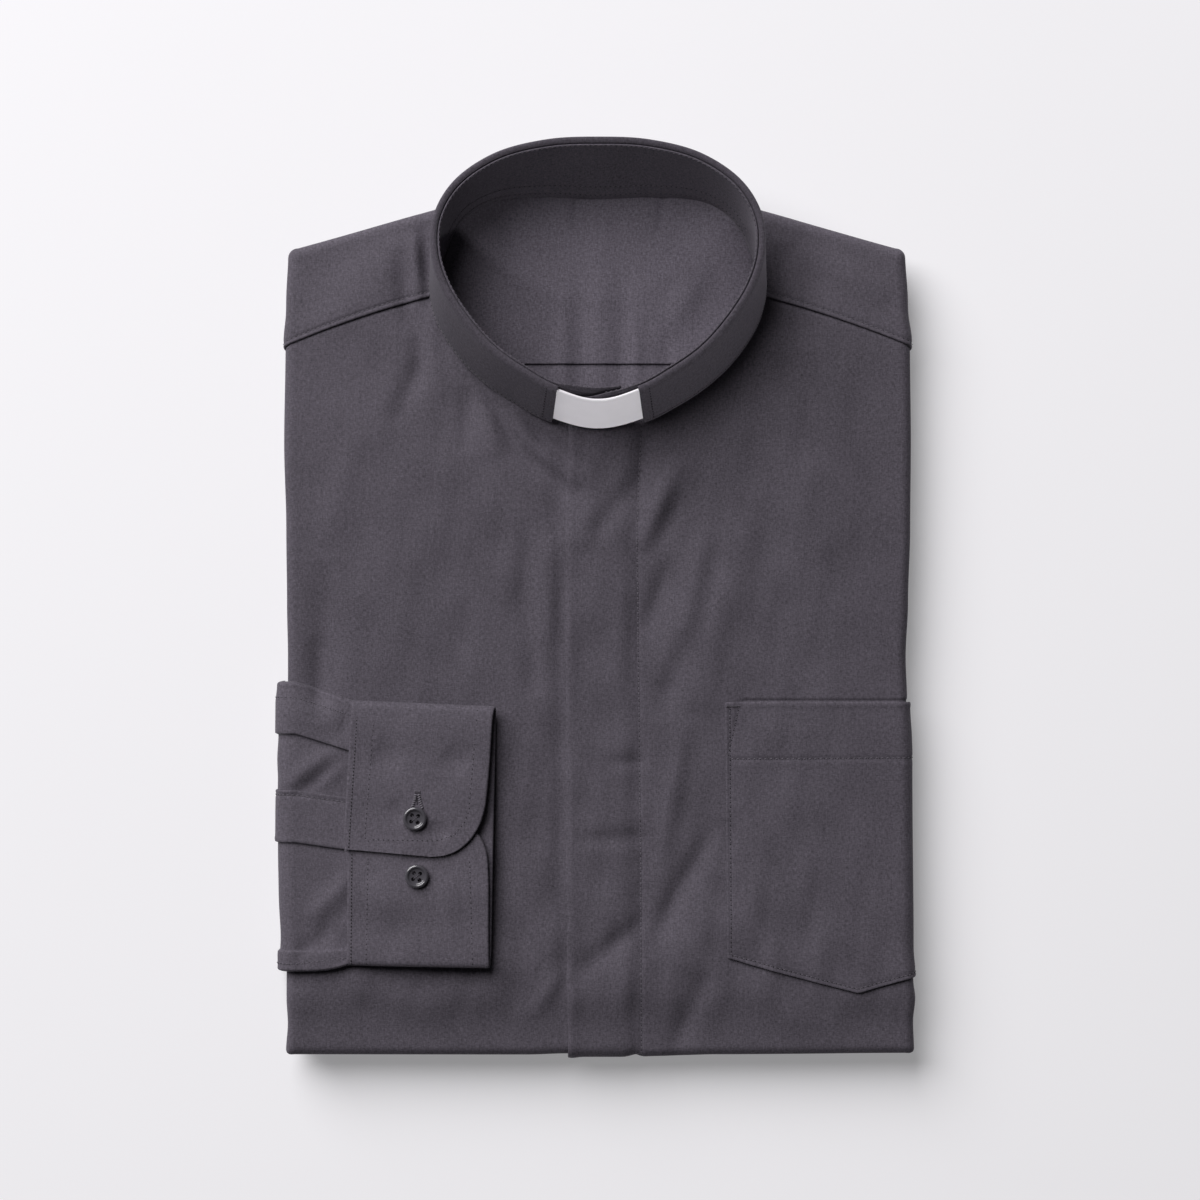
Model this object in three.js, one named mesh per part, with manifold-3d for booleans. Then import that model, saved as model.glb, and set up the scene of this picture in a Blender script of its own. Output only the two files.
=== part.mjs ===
// A long-sleeved clergy shirt with a tab collar, folded for a shelf and lying face up on a table.
// Millimetres. +X runs to the wearer's left, +Y towards the collar and +Z up from the table.
// The two fronts, the yoke and the pocket bend over the folded edges. The back, sleeve and tail that
// lie behind share one rounded stack, and the right sleeve comes round its edge onto the front.
import * as THREE from "three";
import { mergeVertices } from "three/addons/utils/BufferGeometryUtils.js";
import Module from "manifold-3d";

const wasm = await Module();
wasm.setup();

// Cloth and seams.
const WALL = 1.2;
const GAP = 0.3;

// The folded body: its outline, its height over the table and the roll along its edges.
const HALF_WIDTH = 131.5;
const BOTTOM_Y = -191.5;
const SHOULDER_Y = 146.8;
const SHOULDER_SLOPE = 0.2727;
const EDGE_HEIGHT = 18.2;
const MIDDLE_HEIGHT = 20;
const CROWN_REACH = 26;
const ROLL = 3.9;
const ROLL_LENGTH = ROLL * THREE.MathUtils.degToRad(150);
const CORNER_FULLNESS = 0.22;
const FOLD_X = HALF_WIDTH - ROLL;
const FOLD_Y = BOTTOM_Y + ROLL;

// How far each side stands out past a straight edge, and how far the bottom edge hangs lower.
const SIDE_WANDER = [
  { y: -190, left: 0.0, right: 1.7 },
  { y: -178, left: -0.8, right: 1.3 },
  { y: -168, left: -0.4, right: 2.1 },
  { y: -160, left: -0.4, right: 1.2 },
  { y: -145, left: -0.6, right: -0.1 },
  { y: -70, left: -0.8, right: -0.5 },
  { y: -43, left: -0.8, right: -1.2 },
  { y: -24, left: -0.8, right: -1.8 },
  { y: -1, left: -0.4, right: -0.8 },
  { y: 30, left: -0.1, right: 0.1 },
  { y: 66, left: 0.8, right: 0.4 },
  { y: 108, left: 0.2, right: 0.0 },
  { y: 125, left: -0.4, right: -1.2 },
  { y: 147, left: -1.3, right: -2.4 },
];
const BOTTOM_WANDER = [
  { x: -131, drop: 0.0 },
  { x: -30, drop: 0.1 },
  { x: -12.6, drop: -0.4 },
  { x: 15.6, drop: -0.4 },
  { x: 18.5, drop: 0.9 },
  { x: 26, drop: 0.7 },
  { x: 50, drop: 0.0 },
  { x: 131, drop: -0.6 },
];

// Soft folds of the body cloth: the middle of each, its bearing from +X, half length, half width and rise.
const FOLDS = [
  { x: -96, y: 145, bearing: 34, length: 26, width: 7, rise: 0.7 },
  { x: -76, y: 112, bearing: 82, length: 22, width: 6, rise: -0.7 },
  { x: -66, y: 100, bearing: 75, length: 20, width: 5, rise: 0.5 },
  { x: -29, y: 66, bearing: -48, length: 16, width: 4, rise: 0.6 },
  { x: -40, y: 68, bearing: -68, length: 18, width: 4, rise: -0.6 },
  { x: -31, y: 18, bearing: 88, length: 38, width: 6, rise: -0.6 },
  { x: -119, y: -18, bearing: 84, length: 16, width: 6, rise: -0.8 },
  { x: 28, y: 50, bearing: 66, length: 18, width: 4, rise: 0.7 },
  { x: 37, y: 52, bearing: 58, length: 22, width: 4, rise: -0.6 },
  { x: 32, y: -4, bearing: 72, length: 30, width: 5, rise: 0.6 },
  { x: 34, y: -92, bearing: 80, length: 34, width: 5, rise: 0.6 },
  { x: 40, y: -128, bearing: 58, length: 28, width: 6, rise: -0.7 },
  { x: 36, y: -178, bearing: 62, length: 16, width: 6, rise: -0.6 },
  { x: 92, y: 132, bearing: -40, length: 22, width: 7, rise: 0.5 },
];

// The fly front on the wearer's left: its free edge, its line of stitching and how high it lies.
const FLY = { edge: -12.6, stitch: 18, lift: WALL + GAP, fall: 2.4 };
const RIGHT_FRONT_EDGE = -3;

// The yoke's seam on the front, by distance from where it meets the collar.
const YOKE_SEAM = { x: 70.8, y: 127.6, slope: 0.26, bend: 0.0013 };
const YOKE_INNER_EDGE = 60;

// The stack behind: each layer's height, how far its edge stands in from the outline, where its
// shoulders end and how high its middle reaches. The lowest is the tail, with its curved hem up.
const STACK = [
  { bottom: 0, top: 3.7, inLeft: 3.4, inRight: 2.6, inBottom: 3.5, shoulder: 112, crest: 138 },
  { bottom: 3.5, top: 7.2, inLeft: 2.2, inRight: 3.4, inBottom: 1.9, shoulder: 139, crest: 160 },
  { bottom: 7.0, top: 10.6, inLeft: 2.8, inRight: 2.2, inBottom: 2.7, shoulder: 141, crest: 166 },
];
const STACK_ROUNDING = 1.5;
const STACK_TOP = 10.6;
const FILL_CLEARANCE = 1.1;

// What shows inside the collar: a recess in the stack that holds the back and both yokes.
const RECESS = { halfWidth: 81, from: 56 };
const BACK_SEAM_Y = 100.3;
const OUTER_YOKE = { bottom: STACK_TOP + GAP, top: STACK_TOP + GAP + WALL };
const INNER_YOKE = { bottom: OUTER_YOKE.top + GAP, top: OUTER_YOKE.top + GAP + WALL };
const BACK_LEVEL = { bottom: OUTER_YOKE.bottom, top: INNER_YOKE.top - 0.3 };

// The collar from its seam to its rim, front to back. Each row is the same place on both edges.
const COLLAR = [
  { seamX: 0, seamY: 73.7, rimX: 0, rimY: 85.4, rimZ: 47.5 },
  { seamX: 19, seamY: 76.3, rimX: 16.9, rimY: 88.1, rimZ: 47.5 },
  { seamX: 32.3, seamY: 82.9, rimX: 29.5, rimY: 94.8, rimZ: 47.6 },
  { seamX: 45, seamY: 91.2, rimX: 43, rimY: 104.3, rimZ: 47.8 },
  { seamX: 57.1, seamY: 103.1, rimX: 54, rimY: 116.5, rimZ: 48 },
  { seamX: 66.4, seamY: 118.5, rimX: 62.8, rimY: 130.5, rimZ: 48 },
  { seamX: 69, seamY: 133, rimX: 67, rimY: 144, rimZ: 48 },
  { seamX: 65.6, seamY: 147.5, rimX: 66.3, rimY: 158.5, rimZ: 48 },
  { seamX: 57.5, seamY: 161.5, rimX: 58.5, rimY: 172, rimZ: 48, seamZ: 18.9 },
  { seamX: 44, seamY: 169.8, rimX: 42, rimY: 183.3, rimZ: 48, seamZ: 15.0 },
  { seamX: 22, seamY: 171.8, rimX: 21, rimY: 188.9, rimZ: 48, seamZ: 14.0 },
  { seamX: 0, seamY: 171, rimX: 0, rimY: 190, rimZ: 48, seamZ: 13.9 },
];
const BAND = { outer: 2.0, faceWall: 1.2, rimWall: 1.6, roundOver: 1.2 };
const INNER_BAND = { leftEnd: -0.45, rightEnd: 0.55, leftOut: 0.55, rightOut: -0.95 };
const NECK_OVERHANG = 1.0;
const WINDOW_ROW = 1;

// The white tab that is pushed in behind the two ends of the outer band.
const TAB = { halfSpan: 1.7, low: 1.6, high: 26.0, wall: 0.9, bulge: 1.75 };

// The right cuff, buttoned, as one strip round a flat loop: heights are over the front it lies on.
const CUFF = { wall: 1.4, top: -44.4, seam: -101.6, seamSlant: 0.033, hem: -43.3, hemSlant: 0.02 };
const CUFF_PATH = [
  { name: "underlap end", y: -96, lift: 3.9, hemIn: 9, rise: 0 },
  { name: "underlap corner", y: -98.6, lift: 3.9, hemIn: 5.8, rise: 0 },
  { name: "underlap side", y: -105, lift: 3.9, hemIn: 2.8, rise: 0 },
  { name: "underlap", y: -116, lift: 3.8, hemIn: 1.6, rise: 0 },
  { name: "underlap middle", y: -134, lift: 3.7, hemIn: 1.2, rise: 0 },
  { name: "over the bottom fold", y: -149, lift: 3.6, hemIn: 0.8, rise: 0.6 },
  { name: "bottom fold start", y: -152.6, lift: 3.3, hemIn: 0.6, rise: 0.8 },
  { name: "bottom fold", y: -153.3, lift: 2.3, hemIn: 0.4, rise: 0.8 },
  { name: "bottom fold end", y: -152.4, lift: 1.4, hemIn: 0.2, rise: 0.8 },
  { name: "under the bottom fold", y: -149, lift: 1.2, hemIn: 0, rise: 0.6 },
  { name: "back layer low", y: -116, lift: 1.2, hemIn: 0, rise: 0.6 },
  { name: "back layer high", y: -82, lift: 1.2, hemIn: 0, rise: 1.4 },
  { name: "under the top fold", y: -50, lift: 1.2, hemIn: 0, rise: 2.2 },
  { name: "top fold start", y: -46.2, lift: 1.6, hemIn: 0, rise: 2.3 },
  { name: "top fold", y: -45.1, lift: 3.4, hemIn: 0.3, rise: 2.4 },
  { name: "top fold end", y: -46.4, lift: 5.1, hemIn: 0.8, rise: 2.3 },
  { name: "over the top fold", y: -50.5, lift: 5.7, hemIn: 1.3, rise: 2.2 },
  { name: "flap high", y: -66, lift: 5.9, hemIn: 2.0, rise: 1.8 },
  { name: "flap middle", y: -80, lift: 5.9, hemIn: 2.9, rise: 1.8 },
  { name: "flap side", y: -90, lift: 5.8, hemIn: 4.2, rise: 2.0 },
  { name: "flap corner start", y: -96.6, lift: 5.75, hemIn: 7.0, rise: 2.3 },
  { name: "flap corner", y: -102.4, lift: 5.7, hemIn: 11.8, rise: 2.7 },
  { name: "flap corner end", y: -105.7, lift: 5.7, hemIn: 16.6, rise: 2.9 },
  { name: "flap end", y: -106.9, lift: 5.7, hemIn: 22, rise: 3.0 },
];

// The right sleeve, pressed flat, from the cuff round the body's edge. Each line runs across the
// sleeve at a Y on the folded edge and another at the cuff, with its height over the front.
const SLEEVE = { wall: 1.1, under: 0.4, edgeLow: 2.4, tuck: 0.4 };
const SLEEVE_LINES = [
  { name: "top fold", edgeY: -34.2, cuffY: -42.2, lift: 2.2 },
  { name: "top shoulder", edgeY: -35.6, cuffY: -43.6, lift: 4.6 },
  { name: "pleat upper", edgeY: -44, cuffY: -52, lift: 5.3 },
  { name: "pleat edge", edgeY: -55.8, cuffY: -63.0, lift: 5.4 },
  { name: "pleat foot", edgeY: -56.7, cuffY: -63.9, lift: 4.1 },
  { name: "middle upper", edgeY: -67, cuffY: -73.5, lift: 4.5 },
  { name: "middle", edgeY: -79, cuffY: -84, lift: 4.0 },
  { name: "vent", edgeY: -92, cuffY: -95.5, lift: 4.1 },
  { name: "vent foot", edgeY: -105, cuffY: -108, lift: 4.1 },
  { name: "lower upper", edgeY: -118, cuffY: -120, lift: 3.9 },
  { name: "lower", edgeY: -133, cuffY: -133, lift: 4.2 },
  { name: "hem pleat head", edgeY: -146.8, cuffY: -145.8, lift: 3.8 },
  { name: "hem pleat", edgeY: -147.8, cuffY: -146.8, lift: 4.6 },
  { name: "bottom shoulder", edgeY: -154.6, cuffY: -151.8, lift: 4.2 },
  { name: "bottom fold", edgeY: -155.9, cuffY: -153, lift: 2.2 },
];
const VENT_STRIP = { upperEdge: -80.2, upperCuff: -83.2, lowerEdge: -101.2, lowerCuff: -104.2, wall: 1.0 };

// The breast pocket: pointed at the bottom, and carried over the body's folded side.
const POCKET = { inner: 53.8, top: -43.3, corner: -150, tip: -165, tipX: 107.9, wall: 1.0 };

// Cuff buttons: a saucer with a raised rim and four holes.
const BUTTON = { radius: 5.05, thickness: 2.3, rim: 1.1, dish: 0.7, hole: 0.65, holeSpacing: 2.6 };
const BUTTONS = [
  { name: "cuff_button_upper", x: -76.0, y: -92.1, lift: 5.8 + CUFF.wall / 2 + GAP },
  { name: "cuff_button_lower", x: -75.6, y: -116.4, lift: 3.8 + CUFF.wall / 2 + GAP },
];

// Where the garment's own centre line stands in the part's frame, so that the part is centred.
const CENTRING = { x: 1.12, y: 0.6 };

const CLOTH_COLOUR = 0x56515a;
const cloth = () => new THREE.MeshStandardMaterial({ color: CLOTH_COLOUR, roughness: 0.82, metalness: 0 });
const clothInside = () => new THREE.MeshStandardMaterial({ color: 0x4c4850, roughness: 0.85, metalness: 0 });
const tabPlastic = () => new THREE.MeshStandardMaterial({ color: 0xf1eff2, roughness: 0.35, metalness: 0 });
const buttonPlastic = () => new THREE.MeshStandardMaterial({ color: 0x4a484d, roughness: 0.25, metalness: 0 });

const { clamp, lerp, smoothstep } = THREE.MathUtils;

// Reads one column of a table whose rows rise in another, easing from row to row.
function readTable(table, along, at, column) {
  const last = table.length - 1;
  if (at <= table[0][along]) return table[0][column];
  if (at >= table[last][along]) return table[last][column];
  const next = table.findIndex((row) => row[along] > at);
  const [low, high] = [table[next - 1], table[next]];
  return lerp(low[column], high[column], smoothstep(at, low[along], high[along]));
}

// Evenly spaced numbers from one value to another, both included.
function spread(from, to, steps) {
  return Array.from({ length: steps + 1 }, (_, k) => lerp(from, to, k / steps));
}

// The line where the shoulder starts to roll over, above a place on the front.
function shoulderFoldY(x) {
  return SHOULDER_Y + (HALF_WIDTH - Math.abs(x)) * SHOULDER_SLOPE - ROLL;
}

// One soft fold's rise at a place.
function foldRise(fold, x, y) {
  const bearing = THREE.MathUtils.degToRad(fold.bearing);
  const along = ((x - fold.x) * Math.cos(bearing) + (y - fold.y) * Math.sin(bearing)) / fold.length;
  const across = ((y - fold.y) * Math.cos(bearing) - (x - fold.x) * Math.sin(bearing)) / fold.width;
  return fold.rise * Math.exp(-along * along - across * across);
}

// How full the body is at a distance from one of its folded edges, from 0 to 1.
function fullness(distance) {
  return 1 - Math.exp(-((distance / CROWN_REACH) ** 2));
}

// Height of the fronts' outer face over the table, between the folded edges.
function skinHeight(x, y) {
  const crown = fullness(FOLD_X - Math.abs(x)) * fullness(y - FOLD_Y) * fullness(shoulderFoldY(x) - y);
  const folds = FOLDS.reduce((sum, fold) => sum + foldRise(fold, x, y), 0);
  return EDGE_HEIGHT + (MIDDLE_HEIGHT - EDGE_HEIGHT) * crown + folds;
}

// Moves a place near the outline by the wander of the sides and the bottom.
function wander(x, y) {
  const side = readTable(SIDE_WANDER, "y", y, x < 0 ? "left" : "right");
  const drop = readTable(BOTTOM_WANDER, "x", x, "drop");
  return {
    x: x + Math.sign(x) * side * smoothstep(Math.abs(x), 70, FOLD_X),
    y: y - drop * (1 - smoothstep(y, FOLD_Y, FOLD_Y + 60)),
  };
}

// A point of cloth on the folded body. Cloth past a fold's start rolls over the edge, and lift is
// its height over the fronts' outer face.
function onBody(x, y, lift) {
  const flatX = clamp(x, -FOLD_X, FOLD_X);
  const flatY = clamp(y, FOLD_Y, shoulderFoldY(flatX));
  const pastSide = Math.abs(x) - Math.abs(flatX);
  const pastEnd = Math.abs(y - flatY);
  const place = wander(flatX, flatY);
  const height = skinHeight(flatX, flatY);
  const turn = Math.max(pastSide, pastEnd) / ROLL;
  const bearing = Math.atan2(pastEnd, pastSide);
  const full = 1 + CORNER_FULLNESS * Math.sin(2 * bearing) ** 2;
  const reach = (ROLL + lift) * Math.sin(turn) * full;
  return new THREE.Vector3(
    place.x + Math.sign(x) * reach * Math.cos(bearing),
    place.y + Math.sign(y - flatY) * reach * Math.sin(bearing),
    height - ROLL + (ROLL + lift) * Math.cos(turn),
  );
}

// A closed body from points and triangles, turned so that its faces point out.
function bodyFrom(points, triangles) {
  const volume = triangles.reduce((sum, [a, b, c]) => {
    const across = new THREE.Vector3().crossVectors(points[b], points[c]);
    return sum + points[a].dot(across);
  }, 0);
  const facing = volume < 0 ? triangles.map(([a, b, c]) => [a, c, b]) : triangles;
  const geometry = new THREE.BufferGeometry().setFromPoints(points);
  geometry.setIndex(facing.flat());
  return geometry;
}

// Two triangles over four corners, in order round them.
const quad = (a, b, c, d) => [
  [a, b, c],
  [a, c, d],
];

// A wall between an outer and an inner sheet of points, closed round its four edges.
function wallBody(columns, rows, outerAt, innerAt) {
  const points = [];
  for (const at of [outerAt, innerAt]) {
    for (let i = 0; i < columns; i++) {
      for (let j = 0; j < rows; j++) points.push(at(i, j));
    }
  }
  const outer = (i, j) => i * rows + j;
  const inner = (i, j) => columns * rows + outer(i, j);
  const triangles = [];
  for (let i = 0; i < columns - 1; i++) {
    for (let j = 0; j < rows - 1; j++) {
      triangles.push(...quad(outer(i, j), outer(i + 1, j), outer(i + 1, j + 1), outer(i, j + 1)));
      triangles.push(...quad(inner(i, j), inner(i, j + 1), inner(i + 1, j + 1), inner(i + 1, j)));
    }
    const end = rows - 1;
    triangles.push(...quad(outer(i, 0), inner(i, 0), inner(i + 1, 0), outer(i + 1, 0)));
    triangles.push(...quad(outer(i, end), outer(i + 1, end), inner(i + 1, end), inner(i, end)));
  }
  for (let j = 0; j < rows - 1; j++) {
    const side = columns - 1;
    triangles.push(...quad(outer(0, j), outer(0, j + 1), inner(0, j + 1), inner(0, j)));
    triangles.push(...quad(outer(side, j), inner(side, j), inner(side, j + 1), outer(side, j + 1)));
  }
  return bodyFrom(points, triangles);
}

// A hollow tube from rings of outer and inner points, open at both ends.
function tubeBody(rings, around, outerAt, innerAt) {
  const points = [];
  for (const at of [outerAt, innerAt]) {
    for (let i = 0; i < rings; i++) {
      for (let k = 0; k < around; k++) points.push(at(i, k));
    }
  }
  const outer = (i, k) => i * around + (k % around);
  const inner = (i, k) => rings * around + outer(i, k);
  const triangles = [];
  for (let k = 0; k < around; k++) {
    for (let i = 0; i < rings - 1; i++) {
      triangles.push(...quad(outer(i, k), outer(i + 1, k), outer(i + 1, k + 1), outer(i, k + 1)));
      triangles.push(...quad(inner(i, k), inner(i, k + 1), inner(i + 1, k + 1), inner(i + 1, k)));
    }
    const end = rings - 1;
    triangles.push(...quad(outer(0, k), outer(0, k + 1), inner(0, k + 1), inner(0, k)));
    triangles.push(...quad(outer(end, k), inner(end, k), inner(end, k + 1), outer(end, k + 1)));
  }
  return bodyFrom(points, triangles);
}

// A geometry as a solid that can be joined or cut, and back.
function toSolid(geometry) {
  const bare = geometry.clone();
  bare.deleteAttribute("normal");
  bare.deleteAttribute("uv");
  const merged = mergeVertices(bare, 1e-4);
  const mesh = { numProp: 3, vertProperties: merged.attributes.position.array };
  return new wasm.Manifold(new wasm.Mesh({ ...mesh, triVerts: new Uint32Array(merged.index.array) }));
}

function toGeometry(solid) {
  const { vertProperties, triVerts } = solid.getMesh();
  const geometry = new THREE.BufferGeometry();
  geometry.setAttribute("position", new THREE.BufferAttribute(vertProperties, 3));
  return geometry.setIndex(new THREE.BufferAttribute(triVerts, 1));
}

// A box between two corners, as a solid for cutting.
function boxSolid(low, high) {
  const size = high.map((value, k) => value - low[k]);
  const box = new THREE.BoxGeometry(...size);
  return toSolid(box.translate(...low.map((value, k) => value + size[k] / 2)));
}

// The collar's seam and rim as closed curves, the rows run up one side and down the other.
function collarCurve(pointOf) {
  const last = COLLAR.length - 1;
  const up = COLLAR.map((row) => pointOf(row, 1));
  const down = COLLAR.slice(1, last).reverse();
  const points = [...up, ...down.map((row) => pointOf(row, -1))];
  return new THREE.CatmullRomCurve3(points, true, "centripetal");
}

// Height of the collar's seam: on the cloth that it is sewn to.
function seamHeight(row) {
  if (row.seamZ) return row.seamZ;
  const onFly = row.seamX < FLY.stitch + 2 ? FLY.lift : 0;
  return skinHeight(row.seamX, row.seamY) + onFly + GAP + 0.25;
}

const seamCurve = collarCurve((row, side) => new THREE.Vector3(side * row.seamX, row.seamY, seamHeight(row)));
const rimCurve = collarCurve((row, side) => new THREE.Vector3(side * row.rimX, row.rimY, row.rimZ));
const COLLAR_ROWS = 2 * (COLLAR.length - 1);

// A point of the collar: a place round it in rows from the front, a step outwards and a height.
// A height below zero is counted down from the rim.
function onCollar(row, out, height) {
  const at = (((row / COLLAR_ROWS) % 1) + 1) % 1;
  const step = 0.004;
  const seam = seamCurve.getPoint(at);
  const rim = rimCurve.getPoint(at);
  const ahead = seamCurve.getPoint((at + step) % 1);
  const behind = seamCurve.getPoint((at - step + 1) % 1);
  const outward = new THREE.Vector3().subVectors(ahead, behind).setZ(0).normalize();
  outward.set(outward.y, -outward.x, 0);
  const full = seam.distanceTo(rim);
  const share = (height < 0 ? full + height : height) / full;
  return seam.clone().lerp(rim, share).addScaledVector(outward, out);
}

// The edge that the collar covers, as Y over a distance from the centre line, for the fronts or
// for the part of the yoke behind the shoulder point.
function neckEdge(fromRow, toRow) {
  const samples = spread(fromRow, toRow, 120).map((row) => onCollar(row, -NECK_OVERHANG, 0));
  samples.sort((a, b) => a.x - b.x);
  return samples.map((point) => ({ x: point.x, y: point.y }));
}

const frontNeck = neckEdge(0, 5.6);
const backNeck = neckEdge(6.4, 8.2);
const NECK_X = frontNeck.at(-1).x;

// A straight reading of a neck edge.
function neckY(edge, x) {
  const next = clamp(edge.findIndex((point) => point.x > x), 1, edge.length - 1);
  const [low, high] = [edge[next - 1], edge[next]];
  return lerp(low.y, high.y, clamp((x - low.x) / (high.x - low.x), 0, 1));
}

// The yoke's seam over the front.
function yokeSeamY(x) {
  const past = Math.abs(x) - YOKE_SEAM.x;
  return YOKE_SEAM.y - YOKE_SEAM.slope * past - YOKE_SEAM.bend * past * Math.abs(past);
}

// The top edge of a front: under the collar, then along the yoke's seam.
function frontTopY(x) {
  const away = Math.abs(x);
  return away < NECK_X ? neckY(frontNeck, away) : yokeSeamY(away) - GAP / 2;
}

// How high the left front lies over the right one, along its fly.
function flyLift(x) {
  return FLY.lift * (1 - smoothstep(x, FLY.stitch - FLY.fall, FLY.stitch));
}

const foldSteps = (from) => spread(from, from + ROLL_LENGTH, 5).slice(1);
const bottomRows = spread(-ROLL_LENGTH, 0, 5).slice(0, -1);

// One front, from its centre edge to the far side of the side fold. Its rows start under the
// bottom fold and end at the collar and the yoke.
function frontBody(columns, liftAt) {
  const share = spread(0, 1, 15);
  const rows = bottomRows.length + share.length;
  const place = (i, j, depth) => {
    const x = columns[i];
    const flat = j - bottomRows.length;
    const top = frontTopY(x);
    const y = flat < 0 ? FOLD_Y + bottomRows[j] : lerp(FOLD_Y, top, share[flat]);
    return onBody(x, y, liftAt(x) - depth);
  };
  return wallBody(columns.length, rows, (i, j) => place(i, j, 0), (i, j) => place(i, j, WALL));
}

function rightFront() {
  const towardsNeck = [RIGHT_FRONT_EDGE, -12, -20, -28, -36, -45, -53, -60, -65, -NECK_X];
  const shoulder = [-74, -83, -93, -103, -112, -120, -FOLD_X];
  const columns = [...towardsNeck, ...shoulder, ...foldSteps(FOLD_X).map((x) => -x)];
  return frontBody(columns, () => 0);
}

function leftFront() {
  const fly = [FLY.edge, -6, 2, 10, FLY.stitch - FLY.fall, FLY.stitch - FLY.fall / 2, FLY.stitch];
  const towardsNeck = [24, 31, 38, 46, 54, 60, 65, NECK_X];
  const shoulder = [74, 83, 93, 103, 112, 120, FOLD_X];
  return frontBody([...fly, ...towardsNeck, ...shoulder, ...foldSteps(FOLD_X)], flyLift);
}

// The front part of the outer yoke over one shoulder, rolled over the shoulder fold.
function yokeFlap(side) {
  const neckColumns = [YOKE_INNER_EDGE, 63, 66, NECK_X - 0.2];
  const shoulder = [NECK_X + 0.2, 74, 83, 93, 103, 112, 120, FOLD_X];
  const columns = [...neckColumns, ...shoulder, ...foldSteps(FOLD_X)];
  const share = spread(0, 1, 4);
  const over = foldSteps(0);
  const place = (i, j, depth) => {
    const x = columns[i];
    const low = i < neckColumns.length ? neckY(backNeck, x) : yokeSeamY(x) + GAP / 2;
    const fold = shoulderFoldY(Math.min(x, FOLD_X));
    const y = j < share.length ? lerp(low, fold, share[j]) : fold + over[j - share.length];
    return onBody(side * x, y, -depth);
  };
  const rows = share.length + over.length;
  return wallBody(columns.length, rows, (i, j) => place(i, j, 0), (i, j) => place(i, j, WALL));
}

// The top edge of what lies flat behind the neck, from side to side.
function behindNeckY(x) {
  const away = Math.abs(x);
  const atNeck = away < 57.5 ? onCollar(readTable(NECK_ROWS, "x", away, "row"), 1.2, 0).y : 0;
  return away < 57.5 ? Math.min(atNeck, shoulderFoldY(away) + 1.8) : shoulderFoldY(away) + 1.8;
}

// Rows of the collar that lie behind a distance from the centre line.
const NECK_ROWS = [
  { x: 0, row: 11 },
  { x: 22, row: 10 },
  { x: 44, row: 9 },
  { x: 57.5, row: 8 },
];

// A flat sheet behind the neck, from the back seam up to the neck, between two levels.
function sheetBehindNeck(halfWidth, level, inset) {
  const columns = spread(-halfWidth, halfWidth, 24);
  const share = [0, 0.5, 1];
  const place = (i, j, z) => {
    const x = columns[i];
    return new THREE.Vector3(x, lerp(BACK_SEAM_Y + GAP / 2, behindNeckY(x) - inset, share[j]), z);
  };
  return wallBody(
    columns.length,
    share.length,
    (i, j) => place(i, j, level.top),
    (i, j) => place(i, j, level.bottom),
  );
}

function yoke() {
  const sheet = toSolid(sheetBehindNeck(79, OUTER_YOKE, 0));
  const flaps = [-1, 1].map((side) => toSolid(yokeFlap(side)));
  return toGeometry(flaps.reduce((joined, flap) => joined.add(flap), sheet));
}

function yokeLining() {
  return sheetBehindNeck(78, INNER_YOKE, 0.8);
}

// The top of the back, inside out, as far as the collar's opening shows it.
function back() {
  const columns = spread(-76, 76, 20);
  const share = [0, 1];
  const place = (i, j, z) => {
    const y = lerp(RECESS.from + 2, BACK_SEAM_Y - GAP / 2, share[j]);
    return new THREE.Vector3(columns[i], y, z);
  };
  return wallBody(
    columns.length,
    share.length,
    (i, j) => place(i, j, BACK_LEVEL.top),
    (i, j) => place(i, j, BACK_LEVEL.bottom),
  );
}

// One rounded layer of the stack behind.
function stackLayer(layer) {
  const round = STACK_ROUNDING;
  const left = -HALF_WIDTH + layer.inLeft + round;
  const right = HALF_WIDTH - layer.inRight - round;
  const low = BOTTOM_Y + layer.inBottom + round;
  const { shoulder, crest } = layer;
  const shape = new THREE.Shape();
  shape.moveTo(left + 3, low);
  shape.lineTo(right - 3, low);
  shape.quadraticCurveTo(right, low, right, low + 3);
  shape.lineTo(right, shoulder - 5);
  shape.quadraticCurveTo(right, shoulder, right - 5, shoulder + 1.4);
  shape.lineTo(58, crest - 3);
  shape.quadraticCurveTo(48, crest, 36, crest);
  shape.lineTo(-36, crest);
  shape.quadraticCurveTo(-48, crest, -58, crest - 3);
  shape.lineTo(left + 5, shoulder + 1.4);
  shape.quadraticCurveTo(left, shoulder, left, shoulder - 5);
  shape.lineTo(left, low + 3);
  shape.quadraticCurveTo(left, low, left + 3, low);
  const layerShape = new THREE.ExtrudeGeometry(shape, {
    depth: layer.top - layer.bottom - 2 * round,
    bevelThickness: round,
    bevelSize: round,
    bevelSegments: 3,
    curveSegments: 5,
  });
  return toSolid(layerShape.translate(0, 0, layer.bottom + round));
}

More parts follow.
